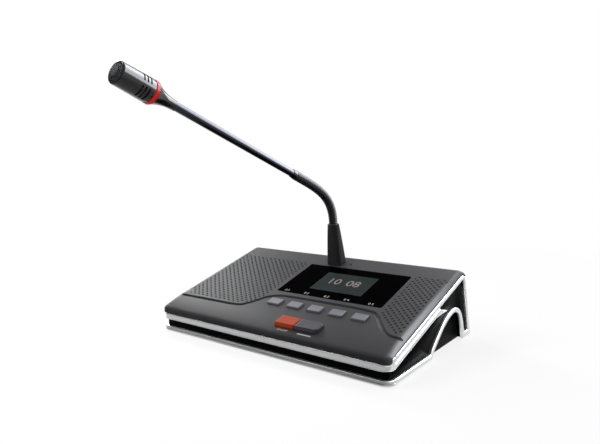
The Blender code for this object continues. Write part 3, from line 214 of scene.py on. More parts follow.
# Vacuum-plated ABS under clear lacquer: bright, satin, with faint long streaks from brushing
def makeSatinPlating(name, colour, rough):
    made, tree, shader, place = surfaceMaterial(name)
    # streaks 80 mm long and 0.7 mm apart
    long = addNode(tree, "ShaderNodeMapping", {"Scale": (12, 12, 1400), "Vector": place})
    streak = addNode(tree, noise, {"Scale": 1.0, "Detail": 2.0, "Vector": long})
    cloud = addNode(tree, noise, {"Scale": 60.0, "Detail": 3.0, "Vector": place})
    dull = addNode(tree, spread, dict(zip(spreadSockets, (cloud, 0.3, 0.7, *rough))))
    tones = {6: linearColour(colour), 7: linearColour("F4F4F4")}
    mixed = addNode(tree, "ShaderNodeMix", {"data_type": "RGBA", 0: streak, **tones})
    feed(shader, {"Base Color": mixed.outputs[2], "Roughness": dull, "Metallic": 0.9})
    return made


satinPlating = makeSatinPlating("satinPlating", "C9CBCB", (0.2, 0.3))
shadedPlating = makeSatinPlating("shadedPlating", "6C6E6C", (0.28, 0.4))  # painted shade: a darker copy of the plating for the lower strip, for the dark floor it reflects


# Cast acrylic, printed black from behind: nearly black with a clean, low reflection
def makeSmokedAcrylic():
    made, tree, shader, place = surfaceMaterial("smokedAcrylic")
    dust = addNode(tree, noise, {"Scale": 220.0, "Detail": 4.0, "Vector": place})
    dull = addNode(tree, spread, dict(zip(spreadSockets, (dust, 0.35, 0.7, 0.05, 0.12))))
    tones = {6: linearColour("010000"), 7: linearColour("050404")}
    tint = addNode(tree, "ShaderNodeMix", {"data_type": "RGBA", 0: dust, **tones})
    feed(shader, {"Base Color": tint.outputs[2], "Roughness": dull, "Specular IOR Level": 0.001})
    return made


# Liquid crystal panel behind the acrylic: grey film with fine rows of cells, 0.6 mm apart
def makeCrystalPanel():
    made, tree, shader, place = surfaceMaterial("crystalPanel")
    stripes = {"wave_type": "BANDS", "bands_direction": "X", "Scale": turn / 20 / (0.6 * mm)}
    rows = addNode(tree, "ShaderNodeTexWave", {**stripes, "Distortion": 0.0, "Vector": place}).outputs["Fac"]
    cloud = addNode(tree, noise, {"Scale": 45.0, "Detail": 2.0, "Vector": place})
    tones = {6: linearColour("2F3535"), 7: linearColour("3A4040")}
    cells = addNode(tree, "ShaderNodeMix", {"data_type": "RGBA", 0: rows, **tones}).outputs[2]
    haze = {"data_type": "RGBA", "blend_type": "MULTIPLY", 0: cloud, 6: cells, 7: linearColour("D8DCDC")}
    film = addNode(tree, "ShaderNodeMix", haze).outputs[2]
    feed(shader, {"Base Color": film, "Roughness": 0.28, "Specular IOR Level": 0.005})
    return made


smokedAcrylic = makeSmokedAcrylic()
crystalPanel = makeCrystalPanel()
print("materials made")


# Places and outlines, all in mm

def onPanel(x=0.0, slope=0.0, height=0.0):
    start = Matrix.Translation((0, frontY, console["frontHeight"]))
    return start @ Matrix.Rotation(tilt, 4, "X") @ Matrix.Translation((x, slope, height))


def sidePoint(slope, height):
    spot = onPanel(0, slope, height).translation
    return Vector((spot.y, spot.z))


def panelHeight(y):
    return console["frontHeight"] + (y - frontY) * tan(tilt)


def arcPoints(centre, radius, start, end, steps):
    angles = [start + (end - start) * i / steps for i in range(steps + 1)]
    return [Vector((centre[0] + radius * cos(a), centre[1] + radius * sin(a))) for a in angles]


def roundedBox(width, depth, radii, x=0.0, y=0.0, steps=6):
    corners = radii if isinstance(radii, (list, tuple)) else [radii] * 4
    points = []
    for i, radius in enumerate(corners):  # from back right, anticlockwise
        sideX = -1 if i in (1, 2) else 1
        sideY = 1 if i in (0, 1) else -1
        centre = (x + sideX * (width / 2 - radius), y + sideY * (depth / 2 - radius))
        points += arcPoints(centre, radius, i * quarter, (i + 1) * quarter, steps)
    return points


def ringOf(radius, height, sides, x=0.0, y=0.0):
    if radius == 0:
        return [Vector((x, y, height))]
    angles = [turn * i / sides for i in range(sides)]
    return [Vector((x + radius * cos(a), y + radius * sin(a), height)) for a in angles]


def raised(points, height):
    return [Vector((p[0], p[1], height)) for p in points]


def sideways(points, x):
    # turns an outline of the side view up, so that its first measure is y and its second z
    return [Vector((x, p[0], p[1])) for p in points]


def shares(count):
    return [i / count for i in range(count + 1)]


def smoothLine(points, steps):
    ends = [Vector(p) for p in (points[0], *points, points[-1])]
    slopes = [(after - before) / 2 for before, after in zip(ends, ends[2:])]
    line = []
    for i, (start, end) in enumerate(zip(ends[1:], ends[2:-1])):
        for step in range(steps):
            t = step / steps
            far = t * t * (3 - 2 * t)
            leave = t * (1 - t) * (1 - t)
            arrive = t * t * (t - 1)
            line.append(start * (1 - far) + end * far + slopes[i] * leave + slopes[i + 1] * arrive)
    line.append(Vector(points[-1]))
    return line


def offsetLine(points, distance):
    moved = []
    for i, point in enumerate(points):
        way = (points[min(i + 1, len(points) - 1)] - points[max(i - 1, 0)]).normalized()
        moved.append(point + Vector((-way.y, way.x)) * distance)
    return moved


def evenOut(points, longest, shortest):
    # a closed outline with no tiny sides, and long ones in several stretches
    kept = []
    for point in points:
        if kept and (point - kept[-1]).length < shortest:
            kept.pop()
        kept.append(point)
    even = []
    for first, second in zip(kept, kept[1:] + kept[:1]):
        count = max(1, ceil((second - first).length / longest))
        even += [first.lerp(second, i / count) for i in range(count)]
    return even


def narrowed(points, steps, wanted):
    # steps into a closed outline, shorter where its other side is near
    same, ahead, share = 0.1, 0.75, 0.42
    room = []
    for point, step in zip(points, steps):
        way = step.normalized()
        facing = [
            (other - point).length
            for other in points
            if (other - point).length > same and way.dot((other - point).normalized()) > ahead
        ]
        room.append(min(wanted, share * min(facing)))
    count = len(room)
    calm = [min(room[i], sum(room[(i + j) % count] for j in range(-4, 5)) / 9) for i in range(count)]
    return [step * reach for step, reach in zip(steps, calm)]


def insetSteps(points):
    area = sum(a.x * b.y - b.x * a.y for a, b in zip(points, points[1:] + points[:1]))
    side = 1 if area > 0 else -1
    steps = []
    for i, point in enumerate(points):
        before = (point - points[i - 1]).normalized()
        after = (points[(i + 1) % len(points)] - point).normalized()
        normalA = Vector((-before.y, before.x)) * side
        normalB = Vector((-after.y, after.x)) * side
        middle = (normalA + normalB).normalized()
        steps.append(middle / max(middle.dot(normalA), 0.4))
    return steps


# Meshes

def skinRings(rings, bm=None, closed=False):
    bm = bm or bmesh.new()
    loops = [[bm.verts.new(point) for point in ring] for ring in rings]
    pairs = list(zip(loops, loops[1:]))
    if closed:
        pairs.append((loops[-1], loops[0]))
    for first, second in pairs:
        for i in range(max(len(first), len(second))):
            corners = [first[i % len(first)], first[(i + 1) % len(first)]]
            corners += [second[(i + 1) % len(second)], second[i % len(second)]]
            bm.faces.new(list(dict.fromkeys(corners)))
    if not closed:
        for loop in (loops[0], loops[-1]):
            if len(loop) > 2:
                bm.faces.new(loop)
    return bm


def prism(points, low, high, bm=None):
    return skinRings([raised(points, z) for z in (low, high)], bm)


def lathe(profile, sides=64, closed=False):
    return skinRings([ringOf(r, z, sides) for r, z in profile], None, closed)


def addObject(name, data):
    made = bpy.data.objects.new(name, data)
    bpy.context.collection.objects.link(made)
    return made


def meshObject(name, bm, material=None):
    mesh = bpy.data.meshes.new(name)
    bm.to_mesh(mesh)
    bm.free()
    if material:
        mesh.materials.append(material)
    return addObject(name, mesh)


def makeObject(name, bm, material=None, place=Matrix()):
    bm.transform(Matrix.Scale(mm, 4) @ place)
    bmesh.ops.recalc_face_normals(bm, faces=bm.faces[:])
    return meshObject(name, bm, material)


def carry(piece, place):
    # a finished mesh is in metres, and its new place is given in millimetres
    piece.data.transform(Matrix.Scale(mm, 4) @ place @ Matrix.Scale(1 / mm, 4))


def flatMesh(piece):
    graph = bpy.context.evaluated_depsgraph_get()
    return bpy.data.meshes.new_from_object(piece.evaluated_get(graph))


def settle(piece):
    flat = flatMesh(piece)
    piece.modifiers.clear()
    piece.data = flat


def cutWith(piece, tool, operation="DIFFERENCE"):
    boolean = piece.modifiers.new("cut", "BOOLEAN")
    boolean.operation, boolean.solver, boolean.object = operation, "MANIFOLD", tool
    settle(piece)
    bpy.data.objects.remove(tool)


def cutShape(piece, bm, place=Matrix(), operation="DIFFERENCE"):
    cutWith(piece, makeObject("tool", bm, None, place), operation)


def install(piece, body, slotName, *nodes, crease=35):
    piece.data.shade_smooth()
    piece.data.set_sharp_from_angle(angle=crease * deg)
    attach(piece, body)
    if nodes:
        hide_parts(*nodes)
    return piece


# Geometry Nodes: what every group starts and ends with

def nodeGroup(name, inputs):
    tree = bpy.data.node_groups.new(name, "GeometryNodeTree")
    for label, value in {"Geometry": "Geometry", **inputs, "Material": "Material"}.items():
        kind = {float: "Float", int: "Int"}.get(type(value), value)
        made = tree.interface.new_socket(label, in_out="INPUT", socket_type=f"NodeSocket{kind}")
        if kind != value:
            made.default_value = value
    tree.interface.new_socket("Geometry", in_out="OUTPUT", socket_type="NodeSocketGeometry")
    return tree, addNode(tree, "NodeGroupInput").outputs


def closeGroup(tree, geometry, material):
    real = addNode(tree, "GeometryNodeRealizeInstances", {0: geometry})
    painted = addNode(tree, "GeometryNodeSetMaterial", {"Geometry": real, "Material": material})
    addNode(tree, "NodeGroupOutput", {0: painted})
    return tree


def runNodes(piece, tree, lengths, others):
    sockets = {item.name: item.identifier for item in tree.interface.items_tree if item.in_out == "INPUT"}
    nodes = piece.modifiers.new("nodes", "NODES")
    nodes.node_group = tree
    for name, value in [*[(name, length * mm) for name, length in lengths.items()], *others.items()]:
        nodes[sockets[name]] = value
    settle(piece)


# Geometry Nodes: a staggered field of tapered holes or pegs over any flat area

def staggeredField():
    inputs = {"Pitch": 0.0054, "Row Pitch": 0.0027, "Top Radius": 0.0015, "Foot Radius": 0.001}
    tree, enter = nodeGroup("staggeredField", {**inputs, "Depth": 0.002, "Spread": 0.12, "Sides": 12})
    sizes, counts = [], []
    for pitch in (enter["Pitch"], enter["Row Pitch"]):
        cells = addNode(tree, maths, {"operation": "DIVIDE", 0: enter["Spread"], 1: pitch})
        whole = addNode(tree, maths, {"operation": "CEIL", 0: cells})
        sizes.append(addNode(tree, maths, {"operation": "MULTIPLY", 0: whole, 1: pitch}))
        counts.append(addNode(tree, maths, {"operation": "ADD", 0: whole, 1: 1.0}))
    corners = zip(("Size X", "Size Y", "Vertices X", "Vertices Y"), sizes + counts)
    grid = addNode(tree, "GeometryNodeMeshGrid", dict(corners))
    spot = addNode(tree, "GeometryNodeInputPosition")
    height = addNode(tree, "ShaderNodeSeparateXYZ", {0: spot}).outputs["Y"]
    lifted = addNode(tree, maths, {"operation": "MULTIPLY_ADD", 0: sizes[1], 1: 0.5, 2: height})
    row = addNode(tree, maths, {"operation": "DIVIDE", 0: lifted, 1: enter["Row Pitch"]})
    whole = addNode(tree, maths, {"operation": "ROUND", 0: row})
    odd = addNode(tree, maths, {"operation": "FLOORED_MODULO", 0: whole, 1: 2.0})
    half = addNode(tree, maths, {"operation": "MULTIPLY", 0: enter["Pitch"], 1: 0.5})
    shift = addNode(tree, maths, {"operation": "MULTIPLY", 0: odd, 1: half})
    offset = addNode(tree, "ShaderNodeCombineXYZ", {"X": shift})
    staggered = addNode(tree, "GeometryNodeSetPosition", {"Geometry": grid, "Offset": offset})
    # a peg stands only where a ray from above finds the area below it
    start = addNode(tree, vectors, {"operation": "ADD", 0: spot, 1: (0, 0, 0.01)})
    ray = {"Target Geometry": enter["Geometry"], "Source Position": start, "Ray Direction": (0, 0, -1)}
    found = addNode(tree, "GeometryNodeRaycast", {**ray, "Ray Length": 1.0}).outputs["Is Hit"]
    peg = {"fill_type": "NGON", "Vertices": enter["Sides"], "Depth": enter["Depth"]}
    peg.update({"Radius Top": enter["Top Radius"], "Radius Bottom": enter["Foot Radius"]})
    cone = addNode(tree, "GeometryNodeMeshCone", peg)
    copies = {"Points": staggered, "Selection": found, "Instance": cone}
    return closeGroup(tree, addNode(tree, "GeometryNodeInstanceOnPoints", copies), enter["Material"])


fieldTree = staggeredField()


# Top cover

cover = {
    "lipLow": 15.8,
    "shoulderDrop": 3.9,
    "shoulderWidth": 4.5,
    "noseDrop": 2.7,
    "noseLength": 32,
    "noseEdge": 1.8,
    "sideLip": 4.2,
    "sideLipEnd": 8,
    "sideLipThin": 1,
    "railAngle": 56 * deg,
    "windowWidth": 103,
    "windowDepth": 55.5,
    "windowX": 27.5,
    "windowSlope": 83.2,
    "windowRound": 1.5,
    "paneThickness": 1.2,
    "paneSink": 0.1,
    "screenWidth": 51.5,
    "screenDepth": 32.5,
    "screenX": 28.5,
    "screenSlope": 83.7,
    "screenRound": 1.2,
    "grooveWidth": 4.2,
    "grooveDepth": 1.45,
    "openingRim": 0.25,
    "postX": 98,
    "postFront": 16,
    "postRear": 122,
    "postRadius": 3.6,
    "postLow": 2.8,
    "screwHole": 1.7,
    "screwReach": 14.3,
    "lockX": 14.5,
    "lockSlope": 119.5,
    "lockRadius": 1.8,
    "sleeveHole": 5.3,
    "micX": -1.5,
    "bootSlope": 120,
}
grooveBends = [
    (-116, 21.4), (-72, 22), (-43, 23), (-34.7, 28.1), (-30, 34.6), (-25.7, 41.3), (-17.7, 46.6), (-5, 48.6),
    (35, 49.2), (72, 48.4), (82, 43.2), (89, 34.9), (96.2, 26.8), (103, 22.3), (116, 20.9),
]
keys = {
    "count": 5,
    "firstX": -10.7,
    "pitch": 20.5,
    "slope": 36.5,
    "width": 12.5,
    "depth": 8.8,
    "height": 1.6,
    "round": 0.8,
    "talkX": 20.2,
    "talkWidth": 18.6,
    "chairWidth": 21.4,
    "talkSlope": 12.6,
    "talkDepth": 12.4,
    "talkHeight": 1.9,
    "talkSlant": 1,
    "chairRound": 4,
    "edge": 0.55,
    "draft": 0.15,
    "least": 0.25,
    "dish": ((0.72, 0.05), (0.4, 0.16), (0.1, 0.2)),
    "flangeLip": 1,
    "flangeThickness": 0.8,
    "stemSide": 3,
    "stemRound": 0.5,
    "stemLength": 3.4,
}
keyCorners = [keys["round"]] * 4
chairCorners = [keys["chairRound"], keys["round"], keys["round"], keys["chairRound"]]
talkLeft = keys["talkX"] - keys["talkWidth"] / 2
chairX = talkLeft + keys["talkWidth"] + gap + keys["chairWidth"] / 2
smallKeyXs = [keys["firstX"] + i * keys["pitch"] for i in range(keys["count"])]


def backCorner(drop):
    centre = sidePoint(slopeLength - backRound, -backRound)
    return arcPoints(centre, backRound - drop, quarter + tilt, tilt, 14)


def backLineAt(z, drop=0.0):
    slope = slopeLength - drop
    return sidePoint(slope, (z - console["frontHeight"] - slope * sin(tilt)) / cos(tilt))


def planCorner(inset, steps):
    corner = console["coverCorner"]
    return arcPoints((halfWidth - corner, frontY + corner), corner - inset, -quarter, 0, steps)


def noseAt(y):
    # how far the cover bends down below the panel's plane towards its front edge
    return cover["noseDrop"] * max(0, 1 - (y - frontY) / cover["noseLength"]) ** 3


def lipLine(clearance=0.0):
    across = backRound - cover["sideLipThin"] - clearance
    along = backRound - cover["sideLip"] - clearance
    end = acos((backRound - cover["sideLipEnd"] - clearance) / along)
    start = slopeLength - backRound
    angles = [end * share for share in shares(12)]
    return [sidePoint(start + across * sin(a), along * cos(a) - backRound) for a in angles]


def lipHeight(y, clearance=0.0):
    return panelHeight(y) - (cover["sideLip"] + clearance) / cos(tilt)


def mirrored(rings):
    return [[Vector((-p.x, p.y, p.z)) for p in ring] for ring in reversed(rings)]


def coverBody():
    # each point of the side view with the share of the shoulder's drop that it takes
    marked = [(Vector((frontY, cover["lipLow"])), 0.0)]
    for share in shares(18):
        y = frontY + cover["noseLength"] * share
        marked.append((Vector((y, panelHeight(y) - noseAt(y))), 1 - noseAt(y) / cover["sideLip"]))
    back = backCorner(0)
    marked += [(p, 1 - share) for p, share in zip(back, shares(len(back) - 1))]
    marked.append((sidePoint(slopeLength, -console["backDrop"]), 0.0))
    steps = insetSteps([p for p, _ in marked])
    right = []
    for share in shares(8):
        drop = cover["shoulderDrop"] * (1 - cos(quarter * share))
        x = halfWidth - cover["shoulderWidth"] * (1 - sin(quarter * share))
        right.append(sideways([p + step * drop * depth for (p, depth), step in zip(marked, steps)], x))
    return makeObject("topCover", skinRings(mirrored(right) + right), sparkedGreyAbs)


def cutCoverOutline(piece):
    corner, cornerSteps, rimSteps, clear = console["coverCorner"], 18, 9, 0.05
    outline = planCorner(0, cornerSteps)
    outline += [(halfWidth + reach, frontY + corner), (halfWidth + reach, reach - frontY)]
    # its rim is rounded over round the front corners too, into the shoulder of the sides
    turned = [min(i / cornerSteps, 1) for i in range(len(outline))]
    outline = [Vector((-p[0], p[1])) for p in reversed(outline)] + [Vector(p) for p in outline]
    marked = list(zip(outline, insetSteps(outline), turned[::-1] + turned))
    rings = [raised(outline, -reach)]
    turns = [(quarter * i / rimSteps, 0) for i in range(rimSteps)]
    for angle, rise in [*turns, (quarter, clear), (quarter, reach)]:
        ring = []
        for p, step, share in marked:
            wide = cover["noseEdge"] + (cover["shoulderWidth"] - cover["noseEdge"]) * share
            side = cover["shoulderDrop"] * (1 - noseAt(p.y) / cover["sideLip"])
            deep = cover["noseEdge"] + (side - cover["noseEdge"]) * share
            spot = p + step * wide * (1 - cos(angle))
            top = panelHeight(spot.y) - noseAt(spot.y)
            ring.append(Vector((spot.x, spot.y, top - deep * (1 - sin(angle)) + rise)))
        rings.append(ring)
    cutShape(piece, skinRings(rings), operation="INTERSECT")
    rings = []
    for x, y in planCorner(skin, 8):
        ring = [(y, -reach), (y, panelHeight(y) - shell / cos(tilt)), *backCorner(shell)]
        rings.append(sideways([*ring, sidePoint(slopeLength - shell, -console["backDrop"] - reach)], x))
    cutShape(piece, skinRings(mirrored(rings) + rings))
    start = frontY + cornerRound * (1 - cos(cover["railAngle"]))
    behind = sidePoint(slopeLength + reach, -cover["sideLipEnd"])
    below = [(start, -reach), (start, lipHeight(start)), *lipLine(), behind, (behind.x, -reach)]
    for side in (-1, 1):
        rings = [sideways(below, side * x) for x in (halfWidth - skin - gap / 2, halfWidth + reach)]
        cutShape(piece, skinRings(rings))


def countersunk(points, centre, depth, rim, bm=None):
    # an opening with a small rounded rim, wider where it meets the panel
    outer = [centre + (p - centre) * (1 + rim / max((p - centre).length, rim)) for p in points]
    rings = [raised(points, -depth), raised(points, -rim), raised(outer, 0), raised(outer, reach)]
    return skinRings(rings, bm)


def paneShape(part, corner, grow=0.0):
    # the outline of the window or the screen, grown by one measure on every side
    return roundedBox(cover[f"{part}Width"] + 2 * grow, cover[f"{part}Depth"] + 2 * grow, corner + grow)


onWindow = onPanel(cover["windowX"], cover["windowSlope"])
onScreen = onPanel(cover["screenX"], cover["screenSlope"])
onBoot = onPanel(cover["micX"], cover["bootSlope"])
onLock = onPanel(cover["lockX"], cover["lockSlope"])


def cutCoverOpenings(piece):
    through = shell + reach
    rim = cover["openingRim"]
    recess = paneShape("window", cover["windowRound"], gap)
    tool = countersunk(recess, Vector((0, 0)), cover["paneSink"] + cover["paneThickness"] + gap, rim * 0.8)
    cutShape(piece, tool, onWindow)
    cutShape(piece, prism(paneShape("screen", cover["screenRound"], gap), -through, 0), onScreen)
    pairWidth = keys["talkWidth"] + gap + keys["chairWidth"]
    places = [(x, keys["slope"], keys["width"], keys["depth"], keyCorners) for x in smallKeyXs]
    places.append((talkLeft + pairWidth / 2, keys["talkSlope"], pairWidth, keys["talkDepth"], chairCorners))
    tools = bmesh.new()
    for x, slope, width, depth, radii in places:
        around = roundedBox(width + 2 * gap, depth + 2 * gap, [r + gap for r in radii], x, slope)
        countersunk(around, Vector((x, slope)), through, rim, tools)
    sleeve = (cover["sleeveHole"], cover["micX"], cover["bootSlope"])
    lock = (cover["lockRadius"] + gap, cover["lockX"], cover["lockSlope"])
    for radius, x, slope in (sleeve, lock):
        prism(ringOf(radius, 0, 48, x, slope), -through, reach, tools)
    cutShape(piece, tools, onPanel())


def cutCoverGroove(piece):
    # steep at the back, where it turns dark to the user, and a longer slope on the user's side
    line = smoothLine(grooveBends, 14)
    width, depth = cover["grooveWidth"], cover["grooveDepth"]
    section = [(-0.5, 1), (-0.5, 0.05), (-0.3, -0.6), (0, -1), (0.15, -0.9), (0.42, 0.05), (0.42, 1)]
    sides = [raised(offsetLine(line, across * width), rise * depth) for across, rise in section]
    cutShape(piece, skinRings(list(zip(*sides))), onPanel())


grille = {
    "pitch": 5.4,
    "rowPitch": 2.72,
    "topRadius": 1.1,
    "footRadius": 0.7,
    "depth": 0.7,
    "sides": 14,
    "areas": ((-110.8, -27.5), (82, 110.8)),  # left and right end of each
    "back": 113.5,
    "clear": 4.2,
    "field": 260,
    "speakerX": -70,
    "speakerSlope": 82,
    "speakerRadius": 17.5,
    "speakerDepth": 3.4,
    "speakerWide": 0.7,
    "over": 0.4,
}


def grilleArea(left, right):
    line = [p + Vector((0, grille["clear"])) for p in smoothLine(grooveBends, 8)]
    front = [p for p in line if left <= p.x <= right]
    return [*front, Vector((right, grille["back"])), Vector((left, grille["back"]))]


def cutCoverGrille(piece):
    areas = [grilleArea(left, right) for left, right in grille["areas"]]
    speaker = ringOf(grille["speakerRadius"], 0, 48, grille["speakerX"], grille["speakerSlope"])
    dimples = ("dimples", areas, grille["depth"], 1)
    holes = ("speakerHoles", [speaker], grille["speakerDepth"], grille["speakerWide"])
    for name, outlines, depth, wide in (dimples, holes):
        bm = bmesh.new()
        for outline in outlines:
            bm.faces.new([bm.verts.new(p) for p in raised(outline, 0)])
        tool = makeObject(name, bm)
        slope = (grille["topRadius"] - grille["footRadius"]) / depth
        lengths = {
            "Pitch": grille["pitch"],
            "Row Pitch": grille["rowPitch"],
            "Top Radius": (grille["topRadius"] + slope * grille["over"]) * wide,
            "Foot Radius": grille["footRadius"] * wide,
            "Depth": depth + grille["over"],
            "Spread": grille["field"],
        }
        runNodes(tool, fieldTree, lengths, {"Sides": grille["sides"], "Material": sparkedGreyAbs})
        carry(tool, onPanel(0, 0, -depth))
        cutWith(piece, tool)


def addCoverPosts(piece):
    posts, holes = bmesh.new(), bmesh.new()
    for y in (frontY + cover["postFront"], frontY + cover["postRear"]):
        for x in (-cover["postX"], cover["postX"]):
            bottom = ringOf(cover["postRadius"], cover["postLow"], 24, x, y)
            skinRings([bottom, [Vector((p.x, p.y, panelHeight(p.y) - shell / 2)) for p in bottom]], posts)
            prism(ringOf(cover["screwHole"], 0, 24, x, y), 0, cover["screwReach"], holes)
    cutShape(piece, posts, operation="UNION")
    cutShape(piece, holes)


topCover = coverBody()
cutCoverOutline(topCover)
cutCoverOpenings(topCover)
cutCoverGroove(topCover)
cutCoverGrille(topCover)
addCoverPosts(topCover)
install(topCover, "console", "textured_grey_abs", "top_cover", crease=28)
print("cover cut:", len(topCover.data.polygons), "faces")


# Display window with the liquid crystal field and its figures

window = {
    "edge": 0.12,
    "fieldSink": 0.02,
    "fieldRound": 0.6,
    "numberXs": (-14.7, 6, 26.3, 45.9, 68.5),
    "numberSlope": 58.6,
    "numberSize": 3.8,
    "numberSpread": 1.5,
    "numberLift": 0.02,
    "figures": (("hour", "10", -10.5), ("minute", "08", 8.5)),  # name, text and way to the right
    "figureSize": 13.5,
    "figureUp": 1,
    "markSize": 2.7,
    "markSlope": 3.8,
    "markRight": 0.4,
    "markLift": 0.05,
    "bar": (12.5, 1, 0.4),  # width, depth and corner
    "barSlope": 3.6,
    "barRight": 0.8,
    "inkThickness": 0.03,
}
panelUp = (onPanel().to_3x3() @ Vector((0, 0, 1))).normalized()
panelStart = onPanel().translation * mm
paneTop = -cover["paneSink"]


def makeWindow():
    edge = window["edge"]
    outline = paneShape("window", cover["windowRound"])
    inner = paneShape("window", cover["windowRound"], -edge)
    low = raised(outline, paneTop - cover["paneThickness"])
    pane = skinRings([low, raised(outline, paneTop - edge), raised(inner, paneTop)])
    pane = makeObject("displayPane", pane, smokedAcrylic, onWindow)
    fieldHeight = paneTop - window["fieldSink"]
    tool = prism(paneShape("screen", window["fieldRound"]), fieldHeight, reach)
    cutWith(pane, makeObject("fieldTool", tool, crystalPanel, onScreen))
    if crystalPanel.name not in pane.data.materials:
        pane.data.materials.append(crystalPanel)
    field = pane.data.materials.find(crystalPanel.name)
    for face in pane.data.polygons:
        height = (face.center - panelStart).dot(panelUp)
        if abs(height - fieldHeight * mm) < 0.001 * mm and face.normal.dot(panelUp) > 0.9:
            face.material_index = field
    install(pane, "console", "smoked_glass", "display_window")


def inkText(name, text, size, x, slope, height, apart=1.0):
    curve = bpy.data.curves.new(name, "FONT")
    curve.body, curve.size, curve.space_character = text, size * mm, apart
    curve.align_x = curve.align_y = "CENTER"
    curve.extrude = window["inkThickness"] / 3 * mm
    made = addObject(name, curve)
    mesh = flatMesh(made)
    bpy.data.objects.remove(made)
    piece = addObject(name, mesh)
    carry(piece, onPanel(x, slope, height))
    return piece


def drape(piece, onto):
    # flat ink laid onto the rounded surface below it
    surface = BVHTree.FromObject(onto, bpy.context.evaluated_depsgraph_get())
    for vertex in piece.data.vertices:
        height = (vertex.co - panelStart).dot(panelUp)
        spot = surface.ray_cast(vertex.co + panelUp * reach * mm, -panelUp)[0]
        if spot:
            vertex.co = spot + panelUp * height


def joinPieces(name, parts, material):
    bm = bmesh.new()
    for part in parts:
        bm.from_mesh(part.data)
        bpy.data.objects.remove(part)
    return meshObject(name, bm, material)


makeWindow()
numbers, figures, marks = [], [], []
for number, x in enumerate(window["numberXs"], 1):
    lift = paneTop + window["numberLift"]
    spots = (window["numberSize"], x, window["numberSlope"], lift, window["numberSpread"])
    numbers.append(inkText(f"number{number}", f"0{number}", *spots))
install(joinPieces("keyNumbers", numbers, paleInk), "console", "smoked_glass")
for name, text, x in window["figures"]:
    slope = cover["screenSlope"] + window["figureUp"]
    figures.append(inkText(name, text, window["figureSize"], cover["screenX"] + x, slope, paneTop))
install(joinPieces("clockFigures", figures, crystalInk), "console", "lcd_glass")
spots = (window["markSize"], keys["talkX"] + window["markRight"], window["markSlope"], window["markLift"])
marks.append(inkText("switchMark", "ON/OFF", *spots))
bar = prism(roundedBox(*window["bar"], 0, 0, 3), 0, window["inkThickness"])
place = onPanel(chairX + window["barRight"], window["barSlope"], window["inkThickness"])
marks.append(makeObject("barMark", bar, None, place))
keyMarks = joinPieces("keyMarks", marks, paleInk)
drape(keyMarks, topCover)
install(keyMarks, "console", "textured_grey_abs")
print("window and figures made")


# Keys

def makeKey(name, node, slotName, material, x, slope, width, depth, radii, height, slant=0.0, trim=(0, 0)):
    edge, lip = keys["edge"], keys["flangeLip"]
    flangeTop = -shell - gap
    flangeLow = flangeTop - keys["flangeThickness"]
    stem = roundedBox(keys["stemSide"], keys["stemSide"], keys["stemRound"])
    flangeWidth = width + 2 * lip - trim[0] - trim[1]
    flange = roundedBox(flangeWidth, depth + 2 * lip, radii, (trim[0] - trim[1]) / 2)
    cap = roundedBox(width, depth, radii)
    steps = ((stem, flangeLow - keys["stemLength"]), (stem, flangeLow), (flange, flangeLow))
    steps += ((flange, flangeTop), (cap, flangeTop), (cap, 0))
    rings = [raised(points, z) for points, z in steps]
    capDepth = depth - slant
    for i in range(6):
        angle = quarter * i / 5
        cut = edge * (1 - cos(angle)) + keys["draft"]
        small = [max(r - cut, keys["least"]) for r in radii]
        points = roundedBox(width - 2 * cut, capDepth - 2 * cut, small, 0, slant / 2)
        rings.append(raised(points, height - edge + edge * sin(angle)))
    for share, dip in keys["dish"]:
        sizes = ((width - 2 * edge) * share, (capDepth - 2 * edge) * share, [r * share / 2 for r in radii])
        rings.append(raised(roundedBox(*sizes, 0, slant / 2), height - dip))
    piece = makeObject(name, skinRings(rings), material, onPanel(x, slope))
    return install(piece, node.replace("key", "key_body"), slotName, node, crease=38)


small = (keys["slope"], keys["width"], keys["depth"], keyCorners, keys["height"])
for number, x in enumerate(smallKeyXs, 1):
    makeKey(f"functionCap{number}", f"function_key_{number}", "grey_keycap", greyKeycapAbs, x, *small)
talk = (keys["talkX"], keys["talkSlope"], keys["talkWidth"], keys["talkDepth"], keyCorners)
chair = (chairX, keys["talkSlope"], keys["chairWidth"], keys["talkDepth"], chairCorners)
height, slant, lip = keys["talkHeight"], keys["talkSlant"], keys["flangeLip"]
makeKey("talkCap", "mic_key", "red_keycap", redKeycapAbs, *talk, height, slant, (0, lip))
makeKey("chairCap", "priority_key", "dark_grey_keycap", darkKeycapAbs, *chair, height, slant, (lip, 0))
print("keys made")


# Silver bands round the front

bands = {
    "stripHeight": 4,
    "stripGroove": 0.45,
    "recess": 5.8,
    "band": 5.7,
    "rail": 9,
    "ribbon": 4.5,
    "backEdge": 3.4,
    "beakLength": 96.5,
    "beakStart": 76,
    "beakRise": 1.6,
    "beakTip": 0.6,
    "round": 1.3,
    "stripRound": 0.5,
    "roundShare": 2.4,
    "closest": 0.03,
}
# the beak's taper: share of its length, how far its lower line has risen, and what is left of its height
beakShares = [(0.0, 0.0, 1.0), (0.3, 0.25, 1.0), (0.55, 0.6, 0.45), (1.0, 1.0, 0.03)]
bandLow = bands["stripHeight"] + bands["recess"]
bandHigh = bandLow + bands["band"]
sideStart = cornerRound + gap
straight = halfWidth - cornerRound
bend = cornerRound * quarter


def bandPlace(run, depth):
    # run: the way along the front from its middle and on round a corner; depth: inwards
    side = 1 if run >= 0 else -1
    distance = abs(run)
    if distance <= straight:
        return side * distance, frontY + depth
    if distance <= straight + bend:
        angle = (distance - straight) / cornerRound
        radius = cornerRound - depth
        return side * (straight + radius * sin(angle)), frontY + cornerRound - radius * cos(angle)
    return side * (halfWidth - depth), frontY + cornerRound + distance - straight - bend


def runAt(y):
    return straight + bend + y - cornerRound


